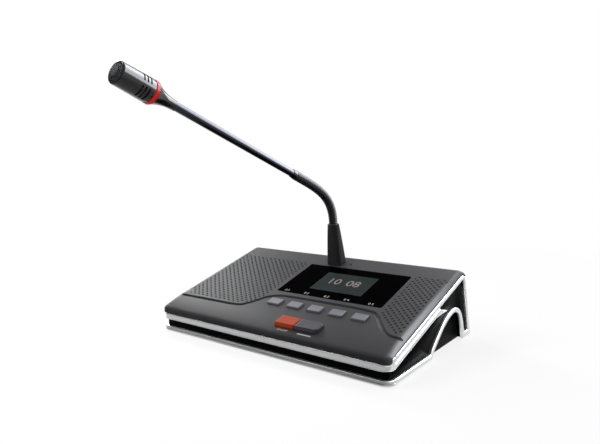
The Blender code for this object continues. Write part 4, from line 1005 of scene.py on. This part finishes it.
def makeBand(name, material, stations, edgeRound, groove=0.0):
    rings = []
    for run, low, high in stations:
        middle = (low + high) / 2
        edge = min(edgeRound, (high - low) / bands["roundShare"])
        rim = [(edge * (1 - sin(a)), edge * (1 - cos(a))) for a in edgeAngles]
        section = [(skin, low)] + [(depth, low + rise) for depth, rise in rim]
        if groove:
            section += [(0, middle - groove), (groove, middle - groove / 2), (groove, middle + groove / 2)]
            section += [(0, middle + groove)]
        section += [(depth, high - rise) for depth, rise in reversed(rim)] + [(skin, high)]
        rings.append([Vector((*bandPlace(run, depth), z)) for depth, z in section])
    return makeObject(name, skinRings(rings), material)


def railLow(y):
    return panelHeight(frontY + y) - bands["rail"] / cos(tilt)


def bothSides(side):
    kept = [side[0]]
    for station in side[1:]:
        if station[0] - kept[-1][0] > bands["closest"]:
            kept.append(station)
    return [(-run, low, high) for run, low, high in reversed(kept)] + kept


def upperStations():
    drop = bands["ribbon"] / cos(tilt)
    sideLow = max(bandLow, railLow(cornerRound) - gap - drop)
    side = []
    covered = (0, cover["railAngle"], 14)
    uncovered = (cover["railAngle"] + gap / cornerRound, quarter, 5)
    for first, last, steps in (covered, uncovered):
        for share in shares(steps):
            angle = first + (last - first) * share
            run = straight + cornerRound * angle
            high = bandHigh if last == cover["railAngle"] else lipHeight(bandPlace(run, 0)[1], gap)
            side.append((run, bandLow + (sideLow - bandLow) * angle / quarter, high))
    side[-1] = (runAt(cornerRound - gap), sideLow, lipHeight(frontY + cornerRound, gap))
    for share in shares(20):
        y = cornerRound + (bands["beakStart"] - cornerRound) * share
        side.append((runAt(y), max(bandLow, railLow(y) - gap - drop), railLow(y) - gap))
    tipLow = railLow(bands["beakStart"]) - gap - drop + bands["beakRise"]
    tipTop = tipLow + bands["beakTip"]
    for share, lowShare, highShare in smoothLine(beakShares, 5)[1:]:
        y = bands["beakStart"] + (bands["beakLength"] - bands["beakStart"]) * share
        low = tipLow - bands["beakRise"] * (1 - lowShare)
        side.append((runAt(y), low, tipTop + (railLow(y) - gap - tipTop) * highShare))
    return bothSides(side)


def lowerStations():
    side = [(straight + bend * share, 0, bands["stripHeight"]) for share in shares(14)]
    side.append((runAt(cornerRound), 0, bands["stripHeight"]))
    return bothSides(side)


upperBand = makeBand("upperBand", satinPlating, upperStations(), bands["round"])
install(upperBand, "console", "silver_plated_trim", "upper_trim", crease=50)
lowerBand = makeBand("lowerBand", shadedPlating, lowerStations(), bands["stripRound"], bands["stripGroove"])
install(lowerBand, "console", "silver_plated_trim", "lower_trim", crease=40)


# Side frames: one bead round the cheek and over the arch

arch = {
    "front": 66,
    "rear": 137.5,
    "height": 28.9,
    "rim": 4,
    "footHeight": 5,
    "footRound": 1.5,
    "steps": 6,
    "crownWidth": 1.25,
    "crownDepth": 0.9,
    "longest": 2.5,
    "shortest": 0.5,
}
archShares = [
    (-0.04, -0.02), (0.03, 0.08), (0.08, 0.22), (0.19, 0.44), (0.36, 0.74), (0.53, 0.935), (0.70, 1.0),
    (0.85, 0.83), (0.94, 0.43), (0.985, 0.05), (1.0, -0.12),
]


def archLine():
    start, span = frontY + arch["front"], arch["rear"] - arch["front"]
    return smoothLine([(start + u * span, v * arch["height"]) for u, v in archShares], arch["steps"])


def above(points, height):
    kept = []
    for first, second in zip(points, points[1:]):
        if first.y >= height:
            kept.append(first)
        if (first.y - height) * (second.y - height) < 0:
            kept.append(first.lerp(second, (height - first.y) / (second.y - first.y)))
    if points[-1].y >= height:
        kept.append(points[-1])
    return kept


def frameOutline():
    startY = frontY + sideStart
    rim = arch["rim"] / 2
    outline = [Vector((startY, lipHeight(startY, gap))), *lipLine(gap)]
    outline += [sidePoint(slopeLength, -cover["sideLipEnd"] - gap), backLineAt(arch["footRound"])]
    heel = backLineAt(0)
    outline += [heel + Vector((-0.35, 0.25)), heel + Vector((-arch["footRound"], 0))]
    outline += above(offsetLine(archLine(), -rim)[::-1], 0)
    outline += [Vector((startY, 0)), Vector((startY, bands["stripHeight"]))]
    inside = offsetLine(archLine(), rim)
    highest = max(range(len(inside)), key=lambda i: inside[i].y)
    outline += above(inside[: highest + 1], bands["stripHeight"])
    outline += above(inside[highest + 1 :], arch["footHeight"])
    outline.append(backLineAt(arch["footHeight"], bands["backEdge"]))
    across, along = backRound - bands["backEdge"], backRound - bands["rail"]
    for share in shares(8):
        angle = quarter * (1 - share)
        spot = (slopeLength - backRound + across * sin(angle), along * cos(angle) - backRound)
        outline.append(sidePoint(*spot))
    return [*outline, Vector((startY, railLow(sideStart)))]


def makeSideFrame(name, node, side):
    points = evenOut(frameOutline(), arch["longest"], arch["shortest"])
    steps = narrowed(points, insetSteps(points), arch["crownWidth"])
    rings = [sideways(points, side * (halfWidth - skin))]
    for share in shares(6):
        x = halfWidth - arch["crownDepth"] * (1 - sin(quarter * share))
        inner = [p + step * (1 - cos(quarter * share)) for p, step in zip(points, steps)]
        rings.append(sideways(inner, side * x))
    piece = makeObject(name, skinRings(rings), satinPlating)
    return install(piece, "console", "silver_plated_trim", node, crease=50)


for side, label in ((-1, "left"), (1, "right")):
    makeSideFrame(f"sideBead_{label}", f"side_frame_{label}", side)
print("bands and side frames made")

# Microphone boot, gooseneck and stem

mic = {
    "neckFront": 108.8,
    "neckHeight": 93.4,
    "bootAngle": 84.8 * deg,
    "stemAngle": 19.6 * deg,
    "neckLength": 80,
    "neckOverlap": 1.2,
    "neckStep": 0.5,
    "pathStep": 0.25,
    "blendReach": 3.5,
    "bendRun": 26,
    "bendPower": 1.6,
    "joints": 8,
    "neckRadius": 3.95,
    "ribPitch": 1.6,
    "ribDepth": 0.16,
    "sides": 32,
    "bootWidth": 15.4,
    "bootDepth": 12.8,
    "bootTop": 5.3,
    "bootCorner": 5.0,
    "bootRings": 16,
    "bootSides": 64,
    "bootTip": 0.86,
    "bootTipRise": 0.5,
    "stemRadius": 3.05,
    "stemBore": 1.6,
    "stemLength": 141,
    "ferruleRadius": 3.9,
    "ferruleLength": 5,
    "coneStart": 135,
    "coneEnd": 154,
    "coneSmall": 3.4,
    "coneLarge": 7.7,
    "conePower": 2.3,
    "ringLength": 2.7,
    "ringRadius": 8.1,
    "spigot": 5.3,
    "spigotLength": 4,
    "headRadius": 7.5,
    "headBackRadius": 7.95,
    "headEnd": 181.4,
    "headWall": 1,
    "headFloor": 2.4,
    "rimWall": 1.5,
    "rimRound": 1.2,
    "mouthDepth": 2.6,
    "slotRows": 3,
    "slotFirst": 4,
    "slotPitch": 2.6,
    "slotWidth": 1.1,
    "slotsAround": 4,
    "slotArc": 62 * deg,
    "grilleThickness": 2,
    "grilleDome": 2.2,
    "meshPitch": 1.15,
    "meshHole": 0.36,
    "meshDepth": 2.2,
    "meshField": 16,
}


def neckAngle(run):
    share = exp(-((max(run, 0) / mic["bendRun"]) ** mic["bendPower"]))
    return mic["stemAngle"] + (mic["bootAngle"] - mic["stemAngle"]) * share


def neckPlace(run):
    steps = max(1, round(abs(run) / mic["neckStep"]))
    y = frontY + mic["neckFront"]
    z = mic["neckHeight"]
    for i in range(steps):
        angle = neckAngle(run * (2 * i + 1) / (2 * steps))
        y -= cos(angle) * run / steps
        z += sin(angle) * run / steps
    return Vector((cover["micX"], y, z))


def makeBoot():
    low = Vector((cover["micX"], *sidePoint(cover["bootSlope"], gap)))
    high = neckPlace(0)
    top, corner = mic["bootTop"], mic["bootCorner"]
    rings = []
    for share in shares(mic["bootRings"]):
        centre = low.lerp(high, share)
        lean = tilt + (quarter - mic["bootAngle"] - tilt) * share
        halfX = mic["bootWidth"] / 2 + (top - mic["bootWidth"] / 2) * share
        halfY = mic["bootDepth"] / 2 + (top - mic["bootDepth"] / 2) * share
        power = 2 / (corner + (2 - corner) * share)
        ring = []
        for i in range(mic["bootSides"]):
            angle = turn * (i + 0.5) / mic["bootSides"]
            c, s = cos(angle), sin(angle)
            x = halfX * copysign(abs(c) ** power, c)
            y = halfY * copysign(abs(s) ** power, s)
            ring.append(centre + Vector((x, y * cos(lean), y * sin(lean))))
        rings.append(ring)
    lift = Vector((0, 0, mic["bootTipRise"]))
    rings.append([centre + (p - centre) * mic["bootTip"] + lift for p in rings[-1]])
    piece = makeObject("micBoot", skinRings(rings), nylonBoot)
    sleeve = lathe([(4.4, -12), (5, -11.4), (5, gap + 0.6)], 48)
    cutShape(piece, sleeve, onBoot, "UNION")
    return install(piece, "console", "black_abs", "mic_boot", crease=40)


# Geometry Nodes: a round tube along a path, with ribs wound at an even pitch

def ribbedTube():
    inputs = {"Radius": 0.004, "Rib Pitch": 0.0016, "Rib Depth": 0.00016, "Start": 0.0}
    tree, enter = nodeGroup("ribbedTube", {**inputs, "Sides": 32, "Rings": 50})
    path = addNode(tree, "GeometryNodeMeshToCurve", {0: enter["Geometry"]})
    fine = addNode(tree, "GeometryNodeResampleCurve", {"Curve": path, "Count": enter["Rings"]})
    along = addNode(tree, "GeometryNodeSplineParameter").outputs["Length"]
    total = addNode(tree, maths, {"operation": "ADD", 0: along, 1: enter["Start"]})
    kept = {"Name": "along", "domain": "POINT", "Geometry": fine, "Value": total}
    stored = addNode(tree, "GeometryNodeStoreNamedAttribute", kept)
    profile = {"Resolution": enter["Sides"], "Radius": enter["Radius"]}
    circle = addNode(tree, "GeometryNodeCurvePrimitiveCircle", profile)
    tube = {"Fill Caps": True, "Curve": stored, "Profile Curve": circle}
    smooth = addNode(tree, "GeometryNodeCurveToMesh", tube)
    read = addNode(tree, "GeometryNodeInputNamedAttribute", {"Name": "along"})
    turns = addNode(tree, maths, {"operation": "DIVIDE", 0: read, 1: enter["Rib Pitch"]})
    angle = addNode(tree, maths, {"operation": "MULTIPLY", 0: turns, 1: turn})
    wave = addNode(tree, maths, {"operation": "COSINE", 0: angle})
    lift = addNode(tree, maths, {"operation": "MULTIPLY", 0: wave, 1: enter["Rib Depth"]})
    outwards = addNode(tree, "GeometryNodeInputNormal")
    push = addNode(tree, vectors, {"operation": "SCALE", 0: outwards, "Scale": lift})
    ribbed = addNode(tree, "GeometryNodeSetPosition", {"Geometry": smooth, "Offset": push})
    return closeGroup(tree, ribbed, enter["Material"])


tubeTree = ribbedTube()


def neckStretch(name, start, end):
    bm = bmesh.new()
    count = max(2, round((end - start) / mic["pathStep"]))
    spots = [bm.verts.new(neckPlace(start + (end - start) * i / count)) for i in range(count + 1)]
    for ends in zip(spots, spots[1:]):
        bm.edges.new(ends)
    piece = makeObject(name, bm)
    lengths = {"Radius": mic["neckRadius"], "Rib Pitch": mic["ribPitch"], "Rib Depth": mic["ribDepth"]}
    others = {"Sides": mic["sides"], "Rings": count + 1, "Material": lacqueredSteel}
    runNodes(piece, tubeTree, {**lengths, "Start": start}, others)
    piece.data.shade_smooth()
    piece.data.set_sharp_from_angle(angle=50 * deg)
    return piece


makeBoot()
spacing = mic["neckLength"] / mic["joints"]
lastNeckBody = f"neck_body_{mic['joints']}"
for number in range(1, mic["joints"] + 1):
    pivot = (number - 1) * spacing
    start = -mic["neckOverlap"] if number == 1 else pivot - spacing / 2
    piece = neckStretch(f"neckSleeve{number}", start, pivot + spacing / 2)
    start, end = [neckPlace(pivot + way) * mm for way in (-mic["blendReach"], mic["blendReach"])]
    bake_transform(piece)
    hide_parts(f"neck_link_{number}")
lastStretch = neckStretch("neckSleeveEnd", mic["neckLength"] - spacing / 2, mic["neckLength"] + gap)
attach(lastStretch, lastNeckBody)
print("gooseneck made")

stemLean = neckAngle(mic["neckLength"])
stemWay = Vector((0, -cos(stemLean), sin(stemLean)))
sideWay = Vector((1, 0, 0))
stemTurn = Matrix((sideWay, stemWay.cross(sideWay), stemWay)).transposed().to_4x4()
stemPlace = Matrix.Translation(neckPlace(mic["neckLength"])) @ stemTurn
bore, spigot = mic["stemBore"], mic["spigot"]
cavity = spigot + gap


def turnedPart(name, node, slotName, material, profile, sides=64):
    piece = makeObject(name, lathe(profile, sides, True), material, stemPlace)
    install(piece, lastNeckBody, slotName, node)


def makeStem():
    radius, end, coneEnd = mic["stemRadius"], mic["stemLength"], mic["coneEnd"]
    tube = [(radius, gap), (radius, end), (bore, end), (bore, gap)]
    turnedPart("stemTube", "stem_tube", "black_gooseneck", lacqueredTube, tube, 40)
    outer, length = mic["ferruleRadius"], mic["ferruleLength"]
    ferrule = [(outer - 0.3, gap), (outer - 0.08, gap + 0.12), (outer, gap + 0.4), (outer, length - 3.6)]
    ferrule += [(outer - 0.08, length - 2.6), (outer - 0.22, length - 1.4), (outer - 0.36, length - 0.4)]
    ferrule += [(radius + 0.4, length), (radius + gap, length), (radius + gap, gap)]
    turnedPart("neckFerrule", "neck_ferrule", "gloss_black_head", pianoLacquer, ferrule, 48)
    cone = []
    for share in shares(24):
        swell = mic["coneSmall"] + (mic["coneLarge"] - mic["coneSmall"]) * share ** mic["conePower"]
        cone.append((swell, mic["coneStart"] + (coneEnd - mic["coneStart"]) * share))
    start = coneEnd - mic["spigotLength"]
    cone += [(cavity, coneEnd), (cavity, start), (bore, start), (bore, end + gap)]
    cone += [(radius + gap, end + gap), (radius + gap, mic["coneStart"])]
    turnedPart("headCone", "head_cone", "gloss_black_head", pianoLacquer, cone)


# Geometry Nodes: one tool repeated round an axis and in rows along it

def slotTree():
    inputs = {"Tool": "Object", "Rows": 3, "Around": 4, "Row Pitch": 0.0026, "First": 0.16}
    tree, enter = nodeGroup("slotRows", inputs)
    count = addNode(tree, maths, {"operation": "MULTIPLY", 0: enter["Rows"], 1: enter["Around"]})
    spots = addNode(tree, "GeometryNodeMeshLine", {"Offset": (0, 0, 0), "Count": count})
    index = addNode(tree, "GeometryNodeInputIndex")
    place = addNode(tree, maths, {"operation": "DIVIDE", 0: index, 1: enter["Around"]})
    row = addNode(tree, maths, {"operation": "FLOOR", 0: place})
    share = addNode(tree, maths, {"operation": "FRACT", 0: place})
    height = {"operation": "MULTIPLY_ADD", 0: row, 1: enter["Row Pitch"], 2: enter["First"]}
    lift = addNode(tree, "ShaderNodeCombineXYZ", {"Z": addNode(tree, maths, height)})
    lifted = addNode(tree, "GeometryNodeSetPosition", {"Geometry": spots, "Offset": lift})
    angle = addNode(tree, maths, {"operation": "MULTIPLY_ADD", 0: share, 1: turn, 2: turn / 8})
    spin = addNode(tree, "ShaderNodeCombineXYZ", {"Z": angle})
    tool = addNode(tree, "GeometryNodeObjectInfo", {"Object": enter["Tool"]}).outputs["Geometry"]
    copies = {"Points": lifted, "Instance": tool, "Rotation": spin}
    return closeGroup(tree, addNode(tree, "GeometryNodeInstanceOnPoints", copies), enter["Material"])


def slotOutline(radius):
    # a slot with round ends, as angle and height on the barrel
    turnTo, rise = mic["slotArc"] / 2, mic["slotWidth"] / 2
    line = []
    for side, first in ((1, -quarter), (-1, quarter)):
        line += [(side * turnTo * (2 * share - 1), -side * rise) for share in shares(24)]
        for share in shares(8)[1:-1]:
            angle = first + 2 * quarter * share
            line.append((side * turnTo + cos(angle) * rise / radius, sin(angle) * rise))
    return line


def makeHead():
    start = mic["coneEnd"] + gap
    end = start + mic["ringLength"]
    outer, soft = mic["ringRadius"], 0.4
    ring = [(outer - soft, start), (outer - 0.1, start + 0.12), (outer, start + soft), (outer, end - soft)]
    ring += [(outer - 0.1, end - 0.12), (outer - soft, end), (cavity, end), (cavity, start)]
    turnedPart("lightRing", "light_ring", "red_light_ring", redAcrylic, ring)
    start = end + gap
    back = start - mic["ringLength"] - mic["spigotLength"]
    wide, radius, end = mic["headBackRadius"], mic["headRadius"], mic["headEnd"]
    inner, mouth = radius - mic["headWall"], radius - mic["rimWall"]
    deep, floor, rim = end - mic["mouthDepth"], start + mic["headFloor"], mic["rimRound"]
    barrel = [(bore, back), (spigot, back), (spigot, start), (wide - 0.4, start)]
    barrel += [(wide - 0.1, start + 0.12), (wide, start + 0.45), (radius, end - 1.4)]
    barrel += [(radius - rim * (1 - cos(a)), end - rim * (1 - sin(a))) for a in edgeAngles]
    barrel += [(mouth, end), (mouth, deep), (inner, deep), (inner, floor), (bore, floor)]
    piece = makeObject("micBarrel", lathe(barrel, 96, True), pianoLacquer, stemPlace)
    outline = slotOutline(radius)
    rings = [
        [Vector((r * cos(a), r * sin(a), z)) for a, z in outline]
        for r in ((inner + spigot) / 2, wide + 1)
    ]
    tool = makeObject("slotTool", skinRings(rings))
    spot = bmesh.new()
    spot.verts.new((0, 0, 0))
    slots = makeObject("slots", spot)
    lengths = {"Row Pitch": mic["slotPitch"], "First": start + mic["slotFirst"]}
    others = {"Tool": tool, "Rows": mic["slotRows"], "Around": mic["slotsAround"], "Material": pianoLacquer}
    runNodes(slots, slotTree(), lengths, others)
    bpy.data.objects.remove(tool)
    carry(slots, stemPlace)
    cutWith(piece, slots)
    install(piece, lastNeckBody, "gloss_black_head", "mic_barrel", crease=30)
    seat, edge = deep + gap, mouth - gap
    face = seat + mic["grilleThickness"]
    dome = [(0, seat + 0.9), (edge - 1, seat + 0.9), (edge - 1, seat), (edge, seat), (edge, face)]
    dome.append((edge - 0.2, face + 0.45))
    for share in shares(9):
        height = face + 0.6 + (mic["grilleDome"] - 0.6) * (1 - (1 - share) ** 2)
        dome.append(((edge - 0.6) * (1 - share), height))
    cloth = makeObject("capsuleCloth", lathe(dome), darkSteelCloth, stemPlace)
    bm = bmesh.new()
    bm.faces.new([bm.verts.new(p) for p in ringOf(edge - 0.9, 0, 48)])
    holes = makeObject("clothHoles", bm)
    pitch, hole = mic["meshPitch"], mic["meshHole"]
    lengths = {"Pitch": pitch, "Row Pitch": pitch * sin(60 * deg), "Top Radius": hole}
    lengths.update({"Foot Radius": hole, "Depth": mic["meshDepth"], "Spread": mic["meshField"]})
    runNodes(holes, fieldTree, lengths, {"Sides": 8, "Material": darkSteelCloth})
    carry(holes, stemPlace @ Matrix.Translation((0, 0, seat + 1.4)))
    cutWith(cloth, holes)
    install(cloth, lastNeckBody, "dark_steel_mesh", "mic_grille", crease=40)


makeStem()
makeHead()
print("stem and head made")


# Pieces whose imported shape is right: merged, with softened edges, or only painted

def refine(name, node, width):
    bm = bmesh.new()
    bm.from_mesh(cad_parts[node].data)
    bmesh.ops.remove_doubles(bm, verts=bm.verts[:], dist=0.0005 * mm)
    if width:
        bmesh.ops.dissolve_limit(bm, angle_limit=1 * deg, verts=bm.verts[:], edges=bm.edges[:])
    piece = meshObject(name, bm, fineBlackAbs)
    if width:
        bevel = piece.modifiers.new("edges", "BEVEL")
        bevel.width, bevel.segments = width * mm, 2
        bevel.limit_method, bevel.angle_limit = "ANGLE", 40 * deg
        settle(piece)
    install(piece, "console", "black_abs", node)


refine("cheekPanel_left", "cheek_left", 0)
refine("cheekPanel_right", "cheek_right", 0)
refine("caseTray", "bottom_case", 0.15)
refine("rearPlate", "rear_panel", 0.1)


def latheAt(name, node, slotName, material, profile, place, sides=48):
    install(makeObject(name, lathe(profile, sides), material, place), "console", slotName, node)


rear = {
    "drop": 42,
    "spread": 56,
    "radius": 7.7,
    "flangeRadius": 9.5,
    "flange": 1.4,
    "bore": 6.5,
    "boreDepth": 7,
    "depth": 12,
}
onBack = onPanel(0, slopeLength, -rear["drop"]) @ Matrix.Rotation(-quarter, 4, "X")
radius, edge, face, hole = rear["radius"], rear["flangeRadius"], rear["flange"], rear["bore"]
back, floor = -rear["depth"], face - rear["boreDepth"]
socketProfile = [(0, back), (radius, back), (radius, 0), (edge - 0.2, 0), (edge, 0.2), (edge, face - 0.4)]
socketProfile += [(edge - 0.4, face), (hole + 0.3, face), (hole, face - 0.3), (hole, floor), (0, floor)]
for way, name, node in ((-1, "lineInSocket", "line_in_socket"), (1, "lineOutSocket", "line_out_socket")):
    place = onBack @ Matrix.Translation((way * rear["spread"] / 2, 0, 0))
    latheAt(name, node, "nickel_plated_brass", nickelPlate, socketProfile, place)

feet = {"x": 84, "front": 18, "rear": 134, "radius": 6, "flat": 4.6, "sink": 1.2, "stand": 1, "round": 0.6}
radius, stand, soft = feet["radius"], feet["stand"], feet["round"]
footProfile = [(0, -stand), (feet["flat"], -stand)]
footProfile += [(radius - soft + soft * sin(a), -stand + soft * (1 - cos(a))) for a in edgeAngles]
footProfile += [(radius, feet["sink"] - gap), (0, feet["sink"] - gap)]
footSpots = [(x, frontY + y, 0) for y in (feet["front"], feet["rear"]) for x in (-feet["x"], feet["x"])]
for number, spot in enumerate(footSpots, 1):
    place = Matrix.Translation(spot)
    latheAt(f"footPad{number}", f"rubber_foot_{number}", "black_rubber", mouldedRubber, footProfile, place)

lock = [
    (0, -5.5), (1, -5.5), (1, gap - 1.2), (1.8, gap - 1.2), (1.8, -0.15), (1.65, 0), (1.0, 0), (0.9, -0.1),
    (0.9, -0.7), (0, -0.7),
]
latheAt("lockScrew", "lock_screw", "zinc_plated_steel", shadedZincPlate, lock, onLock, 32)

painted = (
    (zincPlate, "boot_nut", "ballast_plate", "speaker_basket", *[f"case_screw_{i}" for i in (1, 2, 3, 4)]),
    (openFoam, "speaker_gasket"),
    (sinteredFerrite, "speaker_magnet"),
    (pressedPaper, "speaker_cone"),
    (greenSolderMask, "key_board", "main_board"),
    (crystalPanel, "lcd_module"),
    (mouldedRubber, "capsule_sleeve"),
    (nickelPlate, "mic_capsule"),
)
for material, *nodes in painted:
    for node in nodes:
        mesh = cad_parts[node].data
        if mesh.materials:
            mesh.materials[0] = material
        else:
            mesh.materials.append(material)
print("small pieces made")


# Floor, light and camera

studio = {
    "floorTone": "767676",
    "floorGlow": 0.82,
    "floorClear": 0.3,
    "floorWhite": 0.75,
    "floorZ": -1,
    "floorSize": 3000,
    "worldLevel": 0.2,
    "cardTone": "C6C6C6",
    "wallTone": "ACACAC",
    "wallTop": 1500,
    "cardLow": 0.5,
    "cardLeft": -600,
    "cardRight": 330,
    "cardNear": -520,
    "wallEnd": 50,
    "sideCard": (168, 420, -60, 150),  # left, right, near and far
    "skyTone": "F6F7FF",
    "skyLevel": 9,
    "skyAway": 1200,
    "skyHead": (0, -250, 200),
    "skyAlong": (0, -0.942, 0.335),
    "skyReach": (-1300, 330),
    "skyWays": ((0.85, 0.48, 0.24), (0.4, 0.62, 0.675), (-0.17, 0.654, 0.742)),
}
# each lamp: its power, its sizes and its place in metres, and the spot that it points at
lamps = {
    "topBox": (1.2, (0.9, 0.9), (-0.1, 0.3, 0.95), (0, 0, 0)),
    "keyBox": (3.0, (0.9, 0.35), (0.45, 0.5, 0.98), (0, -0.05, 0.08)),
    "sideBox": (1.2, (0.3, 0.3), (1.0, 0.3, 0.5), (0, 0, 0.05)),
    "backBox": (6.2, (0.4, 0.4), (-1.0, 0.45, 0.7), (-0.08, 0.0, 0.04)),
    "frontBox": (7.5, (0.5, 0.5), (-0.6, -0.6, 0.8), (0, 0, 0.03)),
}
# angles in radians, and the place in metres, of which y counts from the console's front edge
camera = {"lens": 32.844, "sensor": 36, "yaw": 0.639, "pitch": -0.101, "place": (0.2753, -0.3156, 0.1467)}


def seenDirectly(tree):
    # 1 for what the camera sees, also as a reflection or through glass, and 0 for light on other things
    path = addNode(tree, "ShaderNodeLightPath").outputs
    seen = path["Is Camera Ray"]
    for kind in ("Glossy", "Transmission"):
        seen = addNode(tree, maths, {"operation": "MAXIMUM", 0: seen, 1: path[f"Is {kind} Ray"]})
    return seen


def makeFloor():
    made, tree = bareMaterial("paleFloor")
    paint = addNode(tree, "ShaderNodeBsdfDiffuse", {"Color": linearColour(studio["floorTone"])})
    seen = seenDirectly(tree)
    level = addNode(tree, maths, {"operation": "MULTIPLY", 0: seen, 1: studio["floorGlow"]})
    glow = addNode(tree, "ShaderNodeEmission", {"Strength": level})
    both = addNode(tree, "ShaderNodeAddShader", {0: paint, 1: glow})
    # away from the object the paper sweeps up into plain white
    spot = addNode(tree, "ShaderNodeTexCoord").outputs["Object"]
    away = addNode(tree, vectors, {"operation": "LENGTH", 0: spot}).outputs["Value"]
    share = {"Value": away, "From Min": studio["floorClear"], "From Max": studio["floorWhite"]}
    share = addNode(tree, spread, {"interpolation_type": "SMOOTHSTEP", **share})
    white = addNode(tree, "ShaderNodeEmission", {"Strength": 1.0})
    far = addNode(tree, maths, {"operation": "MULTIPLY", 0: share, 1: seen})
    swept = addNode(tree, "ShaderNodeMixShader", {0: far, 1: both, 2: white})
    addNode(tree, "ShaderNodeOutputMaterial", {"Surface": swept})
    size = studio["floorSize"]
    bm = bmesh.new()
    corners = raised([(-size, -size), (size, -size), (size, size), (-size, size)], studio["floorZ"])
    bm.faces.new([bm.verts.new(p) for p in corners])
    makeObject("studioFloor", bm, made)


def hangCard(name, bm, kind, values):
    # only reflections see a card: grey ones in the bands, the bright one on stem, head and shoulder
    made, tree = bareMaterial(name)
    addNode(tree, "ShaderNodeOutputMaterial", {"Surface": addNode(tree, kind, values)})
    card = makeObject(name, bm, made)
    card.visible_camera = card.visible_diffuse = card.visible_shadow = False
    card.visible_transmission = card.visible_volume_scatter = False


def makeCard(name, tone, places):
    bm = bmesh.new()
    for corners in places:
        bm.faces.new([bm.verts.new(p) for p in corners])
    hangCard(name, bm, "ShaderNodeBsdfDiffuse", {"Color": linearColour(tone)})


def flatPlace(left, right, near, far):
    return raised([(left, near), (right, near), (right, far), (left, far)], studio["cardLow"])


def wallPlace(start, end):
    return raised([start, end], studio["cardLow"]) + raised([end, start], studio["wallTop"])


def makeSkyCard():
    # a curved strip that runs along the stem, at one distance from the head
    head, along = Vector(studio["skyHead"]), Vector(studio["skyAlong"])
    bm = bmesh.new()
    rows = []
    for way in smoothLine(studio["skyWays"], 6):
        middle = head + way.normalized() * studio["skyAway"]
        rows.append([bm.verts.new(middle + along * far) for far in studio["skyReach"]])
    for first, second in zip(rows, rows[1:]):
        bm.faces.new((first[0], first[1], second[1], second[0]))
    glow = {"Color": linearColour(studio["skyTone"]), "Strength": studio["skyLevel"]}
    hangCard("skyCard", bm, "ShaderNodeEmission", glow)


def makeWorld():
    world = bpy.data.worlds.new("studio")
    bpy.context.scene.world = world
    world.use_nodes = True
    tree = world.node_tree
    tree.nodes.clear()
    room = addNode(tree, "ShaderNodeBackground", {"Color": (1, 1, 1, 1), "Strength": studio["worldLevel"]})
    white = addNode(tree, "ShaderNodeBackground", {"Color": (1, 1, 1, 1), "Strength": 1.0})
    mixed = addNode(tree, "ShaderNodeMixShader", {0: seenDirectly(tree), 1: room, 2: white})
    addNode(tree, "ShaderNodeOutputWorld", {"Surface": mixed})


def aim(name, data, place, way):
    made = addObject(name, data)
    made.location = place
    made.rotation_mode = "QUATERNION"
    made.rotation_quaternion = way.to_track_quat("-Z", "Y")
    return made


makeFloor()
left, right, near = studio["cardLeft"], studio["cardRight"], studio["cardNear"]
tables = [flatPlace(left, right, near, frontY - 1), flatPlace(*studio["sideCard"])]
walls = [wallPlace((left, near), (right, near)), wallPlace((left, near), (left, studio["wallEnd"]))]
makeCard("tableCard", studio["cardTone"], tables)
makeCard("standingCard", studio["wallTone"], walls)
makeSkyCard()
makeWorld()
for name, (power, sizes, place, target) in lamps.items():
    lamp = bpy.data.lights.new(name, "AREA")
    lamp.shape, lamp.energy = "RECTANGLE", power
    lamp.size, lamp.size_y = sizes
    aim(name, lamp, place, Vector(target) - Vector(place))
lens = bpy.data.cameras.new("photoView")
lens.lens, lens.sensor_width = camera["lens"], camera["sensor"]
yaw, pitch = camera["yaw"], camera["pitch"]
ahead = Vector((-sin(yaw) * cos(pitch), cos(yaw) * cos(pitch), sin(pitch)))
place = Vector(camera["place"]) + Vector((0, frontY * mm, 0))
bpy.context.scene.camera = aim("photoView", lens, place, ahead)
bpy.context.scene.view_settings.view_transform = "Standard"

print("stage set")
